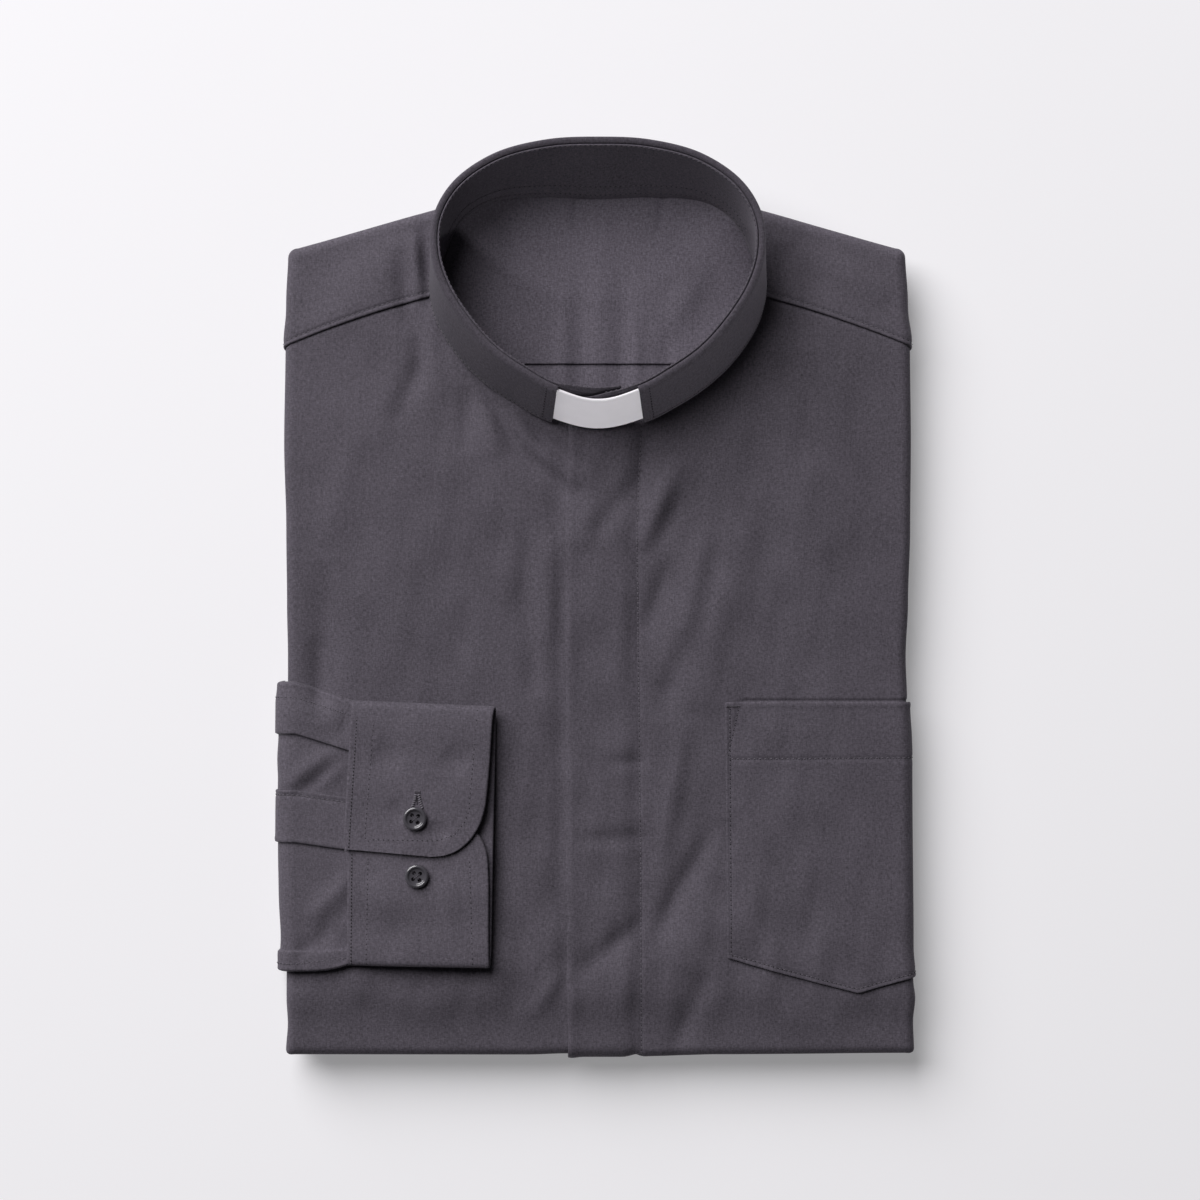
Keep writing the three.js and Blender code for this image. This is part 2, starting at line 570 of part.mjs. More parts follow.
// What fills the folded body between the stack and the fronts.
function bodyFill() {
  const reach = FOLD_X - 2;
  const columns = [-reach, -118, -105, -90, -60, -30, 0, 30, 60, 90, 105, 118, reach];
  const share = [0, 0.04, 0.12, 0.3, 0.5, 0.7, 0.85, 0.94, 1];
  const place = (i, j) => {
    const x = columns[i];
    const top = Math.min(shoulderFoldY(x) - 2, STACK.at(-1).crest - 1);
    return { x, y: lerp(FOLD_Y + 1.5, top, share[j]) };
  };
  const crownAt = (x, y) => {
    const crown = fullness(FOLD_X - Math.abs(x)) * fullness(y - FOLD_Y) * fullness(shoulderFoldY(x) - y);
    return EDGE_HEIGHT + (MIDDLE_HEIGHT - EDGE_HEIGHT) * crown - WALL - FILL_CLEARANCE;
  };
  const top = (i, j) => {
    const { x, y } = place(i, j);
    return new THREE.Vector3(x, y, crownAt(x, y));
  };
  const bottom = (i, j) => {
    const { x, y } = place(i, j);
    return new THREE.Vector3(x, y, STACK_TOP - 0.4);
  };
  return toSolid(wallBody(columns.length, share.length, top, bottom));
}

function foldedLayers() {
  const stack = STACK.map(stackLayer).reduce((joined, layer) => joined.add(layer));
  const recess = boxSolid([-RECESS.halfWidth, RECESS.from, STACK_TOP], [RECESS.halfWidth, 220, 60]);
  return toGeometry(stack.add(bodyFill()).subtract(recess));
}

// The outer band: up its outer face, over the rim and down to the inner band's edge.
function neckbandOuter() {
  const { outer, faceWall, rimWall, roundOver } = BAND;
  const stations = spread(WINDOW_ROW, COLLAR_ROWS - WINDOW_ROW, 48);
  const faceIn = outer - faceWall;
  const section = [
    { out: [outer, 0], in: [faceIn, 0] },
    { out: [outer, 12], in: [faceIn, 12] },
    { out: [outer, -roundOver], in: [faceIn, -rimWall - 0.5] },
    { out: [outer - 0.45, -0.4], in: [faceIn - 0.15, -rimWall - 0.1] },
    { out: [outer - 1.3, -0.01], in: [faceIn - 0.5, -rimWall] },
    { out: [1.3 - outer, -0.01], in: [-0.5, -rimWall] },
    { out: [0.45 - outer, -0.4], in: [-1.1, -rimWall] },
    { out: [-outer, -roundOver], in: [-outer + 0.3, -rimWall] },
  ];
  const place = (face) => (i, j) => onCollar(stations[i], ...section[j][face]);
  return wallBody(stations.length, section.length, place("out"), place("in"));
}

// The inner band, whose left end lies over its right end at the front, behind the tab.
function neckbandInner() {
  const { leftEnd, rightEnd, leftOut, rightOut } = INNER_BAND;
  const stations = [...spread(leftEnd, 1.5, 8), ...spread(1.5, COLLAR_ROWS - 1.5, 38).slice(1, -1)];
  stations.push(...spread(COLLAR_ROWS - 1.5, COLLAR_ROWS + rightEnd, 8));
  const overlap = (row) => {
    const left = leftOut * (1 - smoothstep(row, rightEnd + 0.05, 1.15));
    return left + rightOut * smoothstep(row - COLLAR_ROWS, -1.15, leftEnd - 0.05);
  };
  const heights = [0, 13, -BAND.rimWall - 2 * GAP];
  const place = (out) => (i, j) => {
    return onCollar(stations[i], out + overlap(stations[i]), heights[j]);
  };
  const innerFace = -BAND.outer;
  return wallBody(stations.length, heights.length, place(innerFace + BAND.faceWall), place(innerFace));
}

function collarTab() {
  const stations = spread(-TAB.halfSpan, TAB.halfSpan, 22);
  const heights = spread(TAB.low, TAB.high, 4);
  const bow = (row) => TAB.bulge * (1 - smoothstep(Math.abs(row), 0.3, 1.05));
  const place = (out) => (i, j) => onCollar(stations[i], out + bow(stations[i]), heights[j]);
  return wallBody(stations.length, heights.length, place(TAB.wall / 2), place(-TAB.wall / 2));
}

// Where the sleeve is sewn to the cuff.
function cuffSeamX(y) {
  return CUFF.seam + CUFF.seamSlant * (y - CUFF.top);
}

// A point of the cuff: a place along the strip, across from its seam to its hem, off its middle.
function onCuff(k, across, off) {
  const row = CUFF_PATH[k];
  const before = CUFF_PATH[Math.max(k - 1, 0)];
  const after = CUFF_PATH[Math.min(k + 1, CUFF_PATH.length - 1)];
  const run = new THREE.Vector2(after.y - before.y, after.lift - before.lift).normalize();
  const y = row.y + row.rise * (1 - across) - off * run.y;
  const lift = row.lift + off * run.x;
  const hem = CUFF.hem + CUFF.hemSlant * (row.y - CUFF.top) - row.hemIn;
  const x = lerp(cuffSeamX(row.y), hem, across);
  return new THREE.Vector3(x, y, skinHeight(-85, y) + lift);
}

function cuff() {
  const across = [0, 0.12, 0.3, 0.5, 0.7, 0.88, 1];
  const place = (off) => (i, k) => onCuff(k, across[i], off);
  return wallBody(across.length, CUFF_PATH.length, place(CUFF.wall / 2), place(-CUFF.wall / 2));
}

// The way that the flat sleeve takes: along the front to the body's edge, over it and down.
function sleeveWay() {
  const flat = [0, 0.2, 0.42, 0.7, 1].map((along) => ({ along, turn: 0, down: 0 }));
  const round = spread(0, Math.PI / 2, 5).slice(1);
  const over = round.map((turn) => ({ along: 1, turn, down: 0 }));
  const full = EDGE_HEIGHT - ROLL - SLEEVE.edgeLow;
  const fallen = [0.3, 0.6, 0.82, 1].map((share) => ({ along: 1, turn: Math.PI / 2, down: full * share }));
  return [...flat, ...over, ...fallen];
}

// A point on the sleeve's way, at a height over the body.
function onSleeve(step, y, lift) {
  const edge = wander(-FOLD_X, y).x;
  const base = skinHeight(lerp(CUFF.seam, -FOLD_X, step.along), y) - ROLL;
  const reach = ROLL + lift;
  return new THREE.Vector3(
    lerp(cuffSeamX(y) - GAP, edge, step.along) - reach * Math.sin(step.turn),
    y,
    base + reach * Math.cos(step.turn) - step.down,
  );
}

// Where a line of the sleeve lies at a step of its way.
function sleeveLineY(line, step) {
  return lerp(line.cuffY, line.edgeY, step.along);
}

// How far the sleeve's two layers close up where it is tucked in behind the body.
function tuckAt(step) {
  const full = EDGE_HEIGHT - ROLL - SLEEVE.edgeLow;
  return SLEEVE.tuck * smoothstep(step.down, 0.5 * full, full);
}

function sleeve() {
  const way = sleeveWay();
  const lines = SLEEVE_LINES;
  const under = lines.slice(1, -1).reverse().filter((_, k) => k % 3 === 0);
  const around = lines.length + under.length;
  const place = (inset) => (i, k) => {
    const step = way[i];
    const tuck = tuckAt(step);
    const onTop = k < lines.length;
    const line = onTop ? lines[k] : under[k - lines.length];
    const atFold = k === 0 || k === lines.length - 1;
    const inwards = k === 0 ? -inset : inset;
    const y = sleeveLineY(line, step) + (atFold ? inwards : 0);
    const topLift = line.lift - inset - tuck;
    const lowLift = SLEEVE.under + inset + tuck;
    if (atFold) return onSleeve(step, y, line.lift);
    const nearFold = k === 1 || k === lines.length ? -1 : k === lines.length - 2 || k === around - 1 ? 1 : 0;
    const drawn = k < lines.length ? nearFold : -nearFold;
    return onSleeve(step, y + 0.35 * inset * drawn, onTop ? topLift : lowLift);
  };
  return tubeBody(way.length, around, place(0), place(SLEEVE.wall));
}

// Height of the sleeve's upper face between its lines.
function sleeveTopLift(y, step) {
  const rows = SLEEVE_LINES.map((line) => ({ y: sleeveLineY(line, step), lift: line.lift })).reverse();
  const next = clamp(rows.findIndex((row) => row.y > y), 1, rows.length - 1);
  const [low, high] = [rows[next - 1], rows[next]];
  return lerp(low.lift, high.lift, clamp((y - low.y) / (high.y - low.y), 0, 1)) - tuckAt(step);
}

// The strip that finishes the sleeve's vent, sewn on over it.
function sleevePlacket() {
  const way = sleeveWay().filter((step) => step.down < 5);
  const share = spread(0, 1, 4);
  const { upperEdge, upperCuff, lowerEdge, lowerCuff, wall } = VENT_STRIP;
  const place = (off) => (i, j) => {
    const step = way[i];
    const high = sleeveLineY({ edgeY: upperEdge, cuffY: upperCuff }, step);
    const low = sleeveLineY({ edgeY: lowerEdge, cuffY: lowerCuff }, step);
    const y = lerp(low, high, share[j]);
    return onSleeve(step, y, sleeveTopLift(y, step) + GAP + 0.1 + off);
  };
  return wallBody(way.length, share.length, place(wall), place(0));
}

function pocket() {
  const { inner, top, corner, tip, tipX, wall } = POCKET;
  const flat = [inner, 60, 65, NECK_X, 74, 83, 93, 103, tipX, 112, 120, FOLD_X];
  const columns = [...flat, ...foldSteps(FOLD_X).slice(0, 4)];
  const share = spread(0, 1, 8);
  const slope = (corner - tip) / (tipX - inner);
  const place = (off) => (i, j) => {
    const x = columns[i];
    const low = tip + slope * Math.abs(x - tipX);
    return onBody(x, lerp(low, top, share[j]), GAP + 0.1 + off);
  };
  return wallBody(columns.length, share.length, place(wall), place(0));
}

function button(x, y, lift) {
  const { radius, thickness, rim, dish, hole, holeSpacing } = BUTTON;
  const profile = [
    [0, 0],
    [radius - 1.3, 0],
    [radius - 0.2, 0.8],
    [radius, 1.4],
    [radius - 0.35, thickness - 0.2],
    [radius - 0.8, thickness],
    [radius - rim - 0.2, thickness - dish * 0.7],
    [radius - rim - 1, thickness - dish],
    [0, thickness - dish],
  ].map(([out, up]) => new THREE.Vector2(out, up));
  const saucer = toSolid(new THREE.LatheGeometry(profile, 24).rotateX(Math.PI / 2));
  const drill = new THREE.CylinderGeometry(hole, hole, 3 * thickness, 6).rotateX(Math.PI / 2);
  const drilled = [-1, 1].flatMap((across) => {
    return [-1, 1].map((up) => {
      const spot = [(across * holeSpacing) / 2, (up * holeSpacing) / 2, thickness];
      return toSolid(drill.clone().translate(...spot));
    });
  });
  const made = toGeometry(drilled.reduce((rest, cut) => rest.subtract(cut), saucer));
  return made.translate(x, y, skinHeight(-85, y) + lift);
}

// The garment: one mesh for each piece.
function piece(name, geometry, material) {
  const mesh = new THREE.Mesh(geometry, material);
  mesh.name = name;
  return mesh;
}

const shirt = new THREE.Group();
shirt.add(
  piece("folded_layers", foldedLayers(), clothInside()),
  piece("right_front", rightFront(), cloth()),
  piece("left_front", leftFront(), cloth()),
  piece("yoke", yoke(), cloth()),
  piece("yoke_lining", yokeLining(), clothInside()),
  piece("back", back(), clothInside()),
  piece("neckband_outer", neckbandOuter(), cloth()),
  piece("neckband_inner", neckbandInner(), clothInside()),
  piece("collar_tab", collarTab(), tabPlastic()),
  piece("sleeve", sleeve(), cloth()),
  piece("sleeve_placket", sleevePlacket(), cloth()),
  piece("cuff", cuff(), cloth()),
  piece("pocket", pocket(), cloth()),
  ...BUTTONS.map(({ name, x, y, lift }) => piece(name, button(x, y, lift), buttonPlastic())),
);
shirt.position.set(CENTRING.x, CENTRING.y, 0);

export default shirt;
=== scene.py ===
"""Looks of a long-sleeved clergy shirt with a tab collar, folded for a shelf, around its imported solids.

The garment's numbers are millimetres with +X to the wearer's left, +Y towards the collar and +Z up
from the table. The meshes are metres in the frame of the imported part.
"""

import logging
import math
from collections.abc import Callable
from dataclasses import dataclass
from enum import Enum
from typing import ClassVar

import bpy
import numpy as np
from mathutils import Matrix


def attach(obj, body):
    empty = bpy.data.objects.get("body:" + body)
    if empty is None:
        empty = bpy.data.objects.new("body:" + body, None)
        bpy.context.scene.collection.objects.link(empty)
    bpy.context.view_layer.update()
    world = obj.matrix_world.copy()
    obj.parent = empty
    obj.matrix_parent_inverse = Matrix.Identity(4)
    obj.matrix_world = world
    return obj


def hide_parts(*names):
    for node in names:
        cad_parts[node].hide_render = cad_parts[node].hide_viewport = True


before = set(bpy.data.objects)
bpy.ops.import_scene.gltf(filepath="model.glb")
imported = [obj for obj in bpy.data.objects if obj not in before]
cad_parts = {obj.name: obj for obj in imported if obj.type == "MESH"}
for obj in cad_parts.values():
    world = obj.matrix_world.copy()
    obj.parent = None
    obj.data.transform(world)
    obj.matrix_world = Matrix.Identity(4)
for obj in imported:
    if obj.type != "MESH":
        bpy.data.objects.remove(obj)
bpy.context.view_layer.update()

Array = np.ndarray
Table = tuple[tuple[float, ...], ...]
Place = Callable[[Array, Array], Array]
Edge = Callable[[Array], Array]
Point = tuple[float, float, float]

MM = 0.001
CENTRING = np.array([1.12, 0.6, 0.0])
UP = np.array([0.0, 0.0, 1.0])
UV_NAME = "cloth"
NEARLY_NONE = 1e-4
SHOWN = logging.getLogger("shirt")


class Slot(Enum):
    """The record's slots of material."""

    POPLIN = "poplin"
    INSIDE = "poplin_inside"
    TAB = "tab"
    BUTTON = "button"


def ease(value: Array | float, low: float, high: float) -> Array:
    """Rises smoothly from 0 at low to 1 at high.

    Args:
        value: Where to read the rise.
        low: The value at which it starts.
        high: The value at which it ends.

    Returns:
        The rise, from 0 to 1.
    """
    share = np.clip((np.asarray(value, float) - low) / (high - low), 0, 1)
    return share * share * (3 - 2 * share)


def blend(low: Array | float, high: Array | float, share: Array | float) -> Array:
    """A value that is low at share 0 and high at share 1."""
    return low + (high - low) * share


def read_table(table: Table, at: Array | float, column: int, eased: bool = True) -> Array:
    """Reads one column of a table whose rows rise in their first column.

    Args:
        table: Rows of numbers.
        at: Where to read, in the first column's values.
        column: The column that is read.
        eased: Whether it eases from row to row.

    Returns:
        The column's values there.
    """
    rows = np.array(table, float)
    at = np.clip(np.asarray(at, float), rows[0, 0], rows[-1, 0])
    low = np.clip(np.searchsorted(rows[:, 0], at, side="right") - 1, 0, len(rows) - 2)
    share = (at - rows[low, 0]) / (rows[low + 1, 0] - rows[low, 0])
    if eased:
        share = share * share * (3 - 2 * share)
    return blend(rows[low, column], rows[low + 1, column], share)


def unit(vectors: Array) -> Array:
    """The vectors at length 1."""
    return vectors / np.maximum(np.linalg.norm(vectors, axis=-1, keepdims=True), 1e-9)


def hump(away: Array | float, width: Array | float) -> Array:
    """A smooth hump: 1 at its middle, and almost gone at twice its width away."""
    return np.exp(-((away / width) ** 2))


def length_along(points: Array) -> Array:
    """How far each point of a line is from its first, along the line."""
    return np.concatenate([[0], np.cumsum(np.linalg.norm(np.diff(points, axis=0), axis=1))])


def shades(colour: tuple[float, ...], *levels: float) -> list[tuple[float, ...]]:
    """A colour at several levels of brightness."""
    return [tuple(level * value for value in colour) for level in levels]


def steps(*stops: tuple[float, int]) -> Array:
    """Evenly spaced numbers from stop to stop.

    Args:
        stops: Each stop's value and the number of steps that lead to it; the first has none.

    Returns:
        All the numbers, in order.
    """
    values = [np.array([stops[0][0]])]
    for (start, _), (end, count) in zip(stops, stops[1:]):
        values.append(np.linspace(start, end, count + 1)[1:])
    return np.concatenate(values)


def curve_through(points: Array, at: Array, closed: bool = True) -> Array:
    """A smooth curve through points.

    Args:
        points: The points that it passes.
        at: Where to read it, in points from the first.
        closed: Whether it comes back to the first.

    Returns:
        The curve's points.
    """
    count = len(points)
    before = np.floor(at).astype(int)
    if not closed:
        before = np.minimum(before, count - 2)
    share = (at - before)[..., None]
    numbers = [(before + k) % count if closed else np.clip(before + k, 0, count - 1) for k in (-1, 0, 1, 2)]
    p = [points[number] for number in numbers]
    d = [np.maximum(np.linalg.norm(b - a, axis=-1, keepdims=True), NEARLY_NONE) ** 0.5 for a, b in zip(p, p[1:])]
    start = ((p[1] - p[0]) / d[0] - (p[2] - p[0]) / (d[0] + d[1]) + (p[2] - p[1]) / d[1]) * d[1]
    end = ((p[2] - p[1]) / d[1] - (p[3] - p[1]) / (d[1] + d[2]) + (p[3] - p[2]) / d[2]) * d[1]
    square, cube = -3 * p[1] + 3 * p[2] - 2 * start - end, 2 * p[1] - 2 * p[2] + start + end
    return p[1] + start * share + square * share**2 + cube * share**3


@dataclass(frozen=True)
class Crease:
    """A soft fold of cloth: the line that it follows, its half width and its rise; a trough's is negative.

    A fold that leans has its line given by its lit flank, up and to the left of its crest.
    """

    path: Table
    width: float
    rise: float
    lean: float = 0.0
    fading: ClassVar[float] = 0.7

    def at(self, x: Array, y: Array) -> Array:
        """The fold's rise at places on the flat cloth.

        Args:
            x: Places across the garment.
            y: Places along it.

        Returns:
            The rise there, in millimetres.
        """
        corners = np.array(self.path, float) + self.lean * self.width * np.array([1.0, -1.0])
        runs = np.diff(corners, axis=0)
        lengths = np.linalg.norm(runs, axis=1)
        start = np.concatenate([[0], np.cumsum(lengths)])
        nearest = np.full(np.shape(x), np.inf)
        share = np.zeros(np.shape(x))
        for corner, run, length, before in zip(corners, runs, lengths, start):
            across = (x - corner[0]) * run[0] + (y - corner[1]) * run[1]
            along = np.clip(across / length**2, 0, 1)
            away = np.hypot(x - corner[0] - along * run[0], y - corner[1] - along * run[1])
            share = np.where(away < nearest, (before + along * length) / start[-1], share)
            nearest = np.minimum(nearest, away)
        return self.rise * hump(nearest, self.width) * np.sin(math.pi * share) ** self.fading


def rise_of(creases: tuple[Crease, ...], x: Array, y: Array) -> Array:
    """What several folds together rise at places on the flat cloth."""
    x, y = np.broadcast_arrays(np.asarray(x, float), np.asarray(y, float))
    return sum((crease.at(x, y) for crease in creases), np.zeros(x.shape))


@dataclass(frozen=True)
class FoldedBody:
    """The folded garment's outline and the height of its fronts, and the way cloth rolls over its edges."""

    half_width: float = 131.5
    bottom: float = -191.5
    shoulder: float = 146.8
    shoulder_slope: float = 0.2727
    edge_height: float = 18.2
    middle_height: float = 20.0
    crown_reach: float = 26.0
    roll: float = 3.9
    roll_turn: float = math.radians(150)
    corner_fullness: float = 0.22
    # Y, and how far the left and the right side stand out there.
    side_wander: Table = (
        (-190, 0.0, 1.7), (-178, -0.8, 1.3), (-168, -0.4, 2.1), (-160, -0.4, 1.2), (-145, -0.6, -0.1),
        (-70, -0.8, -0.5), (-43, -0.8, -1.2), (-24, -0.8, -1.8), (-1, -0.4, -0.8), (30, -0.1, 0.1),
        (66, 0.8, 0.4), (108, 0.2, 0.0), (125, -0.4, -1.2), (147, -1.3, -2.4),
    )
    # X, and how far the bottom edge drops there.
    bottom_wander: Table = (
        (-131, 0.0), (-30, 0.1), (-12.6, -0.4), (15.6, -0.4), (18.5, 0.9), (26, 0.7), (50, 0.0), (131, -0.6),
    )
    # The front swells a little above its bottom fold, and falls away over these reaches below and above.
    brow: float = 2.0
    brow_from: float = 24.0
    brow_reach: tuple[float, float] = (12.0, 44.0)
    # Height, waves across and along in radians to a millimetre, and where each starts.
    ripples: Table = (
        (0.16, 0.21, 0.05, 0.4), (0.15, -0.11, 0.19, 1.9), (0.11, 0.33, -0.12, 3.0), (0.12, 0.16, 0.27, 4.6),
        (0.22, 0.08, -0.06, 2.2), (0.07, 0.45, 0.21, 5.3), (0.05, 0.62, -0.08, 0.9),
    )
    # Each crease's path, half width, rise and lean.
    creases: tuple[Crease, ...] = (
        Crease(((-60.0, 176.0), (-96.0, 142.0), (-128.0, 112.0)), 13.0, 2.6, 0.35),
        Crease(((-83.5, 148.0), (-79.0, 112.0)), 4.0, -1.7),
        Crease(((-77.5, 154.0), (-75.0, 124.0)), 2.6, 1.82),
        Crease(((-73.5, 160.0), (-70.5, 122.0)), 3.0, -2.0),
        Crease(((92.0, 158.0), (86.0, 106.0)), 12.0, -2.2),
        Crease(((78.0, 150.0), (76.0, 110.0)), 4.0, -1.68),
        Crease(((-78.6, 124.5), (-76.1, 103.4), (-87.5, 74.6)), 4.5, -1.89, 0.5),
        Crease(((-71.5, 123.7), (-73.2, 96.5)), 3.6, 1.33, 0.5),
        Crease(((-57.2, 92.4), (-57.2, 63.3)), 4.2, -1.33, 0.5),
        Crease(((-48.4, 83.6), (-45.8, 60.3)), 3.6, 1.26, 0.5),
        Crease(((-56.0, 100.0), (-43.9, 81.6), (-35.7, 64.3), (-10.0, 43.0)), 3.4, -1.89, 0.4),
        Crease(((-46.0, 96.0), (-37.0, 80.6), (-26.9, 64.3), (-8.0, 49.0)), 3.0, 1.68, 0.4),
        Crease(((-44.0, 86.0), (-33.1, 76.4), (-6.0, 56.4)), 2.8, -1.4, 0.4),
        Crease(((-31.1, 37.1), (-32.8, 2.5), (-28.2, -38.7)), 4.2, -1.33, 0.5),
        Crease(((-22.7, 29.0), (-22.7, -17.2)), 4.4, 1.05, 0.5),
        Crease(((-118.0, 18.4), (-118.0, -42.6)), 6.0, -1.89, 0.4),
        Crease(((-121.5, -14.0), (-117.5, -50.0)), 4.2, -1.8, 0.4),
        Crease(((-104.4, 75.3), (-117.5, 25.1)), 6.0, 1.12, 0.5),
        Crease(((-14.4, -150.3), (-31.2, -174.3)), 4.0, 1.26, 0.5),
        Crease(((32.0, 62.0), (24.0, 44.0), (15.7, 22.6)), 4.6, 2.3, 0.5),
        Crease(((20.0, 74.0), (18.6, 58.0), (16.5, 40.0)), 3.6, -1.82, 0.2),
        Crease(((35.0, 46.0), (27.0, 32.0), (20.5, 17.0)), 4.6, -1.12, 0.2),
        Crease(((43.5, 34.0), (35.0, -1.7), (25.0, -34.0)), 5.6, 2.1, 0.45),
        Crease(((30.0, 20.1), (22.2, -3.0), (19.2, -13.9)), 3.8, -1.12, 0.3),
        Crease(((34.6, -12.0), (24.5, -50.0)), 4.4, -0.98, 0.2),
        Crease(((60.0, 40.0), (47.0, -4.0), (40.0, -44.0)), 9.0, 1.68, 0.4),
        Crease(((36.1, -47.3), (29.0, -80.3), (21.5, -118.3)), 4.4, 1.54, 0.5),
        Crease(((50.5, -90.3), (32.8, -118.6), (19.0, -147.9)), 4.4, -1.89, 0.4),
        Crease(((58.0, -86.0), (50.0, -112.0)), 4.4, -0.98, 0.4),
        Crease(((44.5, -153.4), (28.3, -191.9)), 4.6, -1.54, 0.4),
        Crease(((16.9, 55.9), (-2.9, 27.2)), 4.4, -1.4, 0.3),
        Crease(((-4.0, 46.0), (-9.5, 22.0)), 5.0, 1.12, 0.3),
        Crease(((0.8, -66.9), (19.8, -66.9)), 3.2, -0.98, 0.4),
        Crease(((-12.0, -98.8), (20.2, -98.8)), 3.6, -1.19, 0.4),
        Crease(((20.2, -130.3), (-11.0, -156.1)), 4.4, -1.4, 0.4),
        Crease(((70.0, 66.0), (98.0, 18.0)), 13.0, 1.12),
        Crease(((58.0, 24.0), (84.0, -34.0)), 10.0, -0.84),
        Crease(((104.0, 96.0), (119.0, 36.0)), 9.0, -0.84),
        Crease(((-100.0, 92.0), (-70.0, 26.0)), 12.0, 0.84),
        Crease(((-62.0, 52.0), (-54.0, -26.0)), 9.0, -0.77),
        Crease(((-30.0, -56.0), (-35.0, -134.0)), 8.0, 0.84),
        Crease(((86.0, 150.0), (122.0, 124.0)), 7.0, 1.26),
        Crease(((-110.0, -160.0), (-60.0, -172.0)), 9.0, 0.84),
        Crease(((60.0, -172.0), (104.0, -182.0)), 8.0, 0.7),
        Crease(((-15.6, 78.0), (-16.2, 10.0), (-15.8, -60.0), (-15.2, -130.0), (-14.4, -186.0)), 3.4, -1.05),
    )

    @property
    def fold_x(self) -> float:
        """Where the cloth starts to roll over the side."""
        return self.half_width - self.roll

    @property
    def fold_y(self) -> float:
        """Where the cloth starts to roll under the bottom."""
        return self.bottom + self.roll

    @property
    def rolled(self) -> float:
        """Length of cloth that an edge takes up."""
        return self.roll * self.roll_turn

    def shoulder_fold(self, x: Array | float) -> Array:
        """Y at which the cloth starts to roll over the shoulder."""
        return self.shoulder + (self.half_width - np.abs(x)) * self.shoulder_slope - self.roll

    def fullness(self, distance: Array) -> Array:
        """How full the body is at a distance from a folded edge."""
        return 1 - hump(np.maximum(distance, 0), self.crown_reach)

    def skin(self, x: Array | float, y: Array | float) -> Array:
        """Height of the fronts' outer face over the table.

        Args:
            x: Places across the garment.
            y: Places along it.

        Returns:
            The height there.
        """
        x, y = np.broadcast_arrays(np.asarray(x, float), np.asarray(y, float))
        crown = self.fullness(self.fold_x - np.abs(x)) * self.fullness(y - self.fold_y)
        crown = crown * self.fullness(self.shoulder_fold(x) - y)
        past = y - self.fold_y - self.brow_from
        brow = self.brow * hump(past, np.where(past < 0, *self.brow_reach))
        crown = crown + brow / (self.middle_height - self.edge_height)
        ripple = sum(deep * np.sin(x * across + y * along + start) for deep, across, along, start in self.ripples)
        return blend(self.edge_height, self.middle_height, crown) + rise_of(self.creases, x, y) + ripple * crown

    def wander(self, x: Array, y: Array) -> tuple[Array, Array]:
        """Moves places near the outline by the wander of the sides and the bottom.

        Args:
            x: Places across the garment.
            y: Places along it.

        Returns:
            Where they lie.
        """
        left, right = (read_table(self.side_wander, y, column) for column in (1, 2))
        side = np.where(x < 0, left, right)
        drop = read_table(self.bottom_wander, x, 1)
        return (
            x + np.sign(x) * side * ease(np.abs(x), 70, self.fold_x),
            y - drop * (1 - ease(y, self.fold_y, self.fold_y + 60)),
        )

    def lay(self, x: Array, y: Array, lift: Array | float) -> Array:
        """Lays cloth on the body, and rolls what is past a fold over the edge.

        Args:
            x: Places across the flat cloth.
            y: Places along it.
            lift: Height over the fronts' outer face.

        Returns:
            The points of the cloth.
        """
        x, y, lift = np.broadcast_arrays(*(np.asarray(value, float) for value in (x, y, lift)))
        flat_x = np.clip(x, -self.fold_x, self.fold_x)
        flat_y = np.clip(y, self.fold_y, self.shoulder_fold(flat_x))
        side, end = np.abs(x) - np.abs(flat_x), np.abs(y - flat_y)
        turn = np.maximum(side, end) / self.roll
        bearing = np.arctan2(end, side)
        place_x, place_y = self.wander(flat_x, flat_y)
        full = 1 + self.corner_fullness * np.sin(2 * bearing) ** 2 * np.where(y < 0, 1.0, 0.0)
        reach = (self.roll + lift) * np.sin(turn) * full
        height = self.skin(flat_x, flat_y) - self.roll + (self.roll + lift) * np.cos(turn)
        out_x = place_x + np.sign(x) * reach * np.cos(bearing)
        out_y = place_y + np.sign(y - flat_y) * reach * np.sin(bearing)
        return np.stack([out_x, out_y, height], axis=-1)

    def spread(self, name: str, x: Array, y: Array, lift: Array, wall: float) -> bpy.types.Mesh:
        """A sheet of cloth laid on the body.

        Args:
            name: The mesh's name.
            x: Grid of places across the flat cloth.
            y: Grid of places along it.
            lift: Height of its outer face over the fronts' outer face.
            wall: Its thickness.

        Returns:
            The mesh.
        """
        outer, inner = self.lay(x, y, lift), self.lay(x, y, lift - wall)
        return ClothMesh.wall(name, outer, inner, np.stack([x, y], axis=-1))


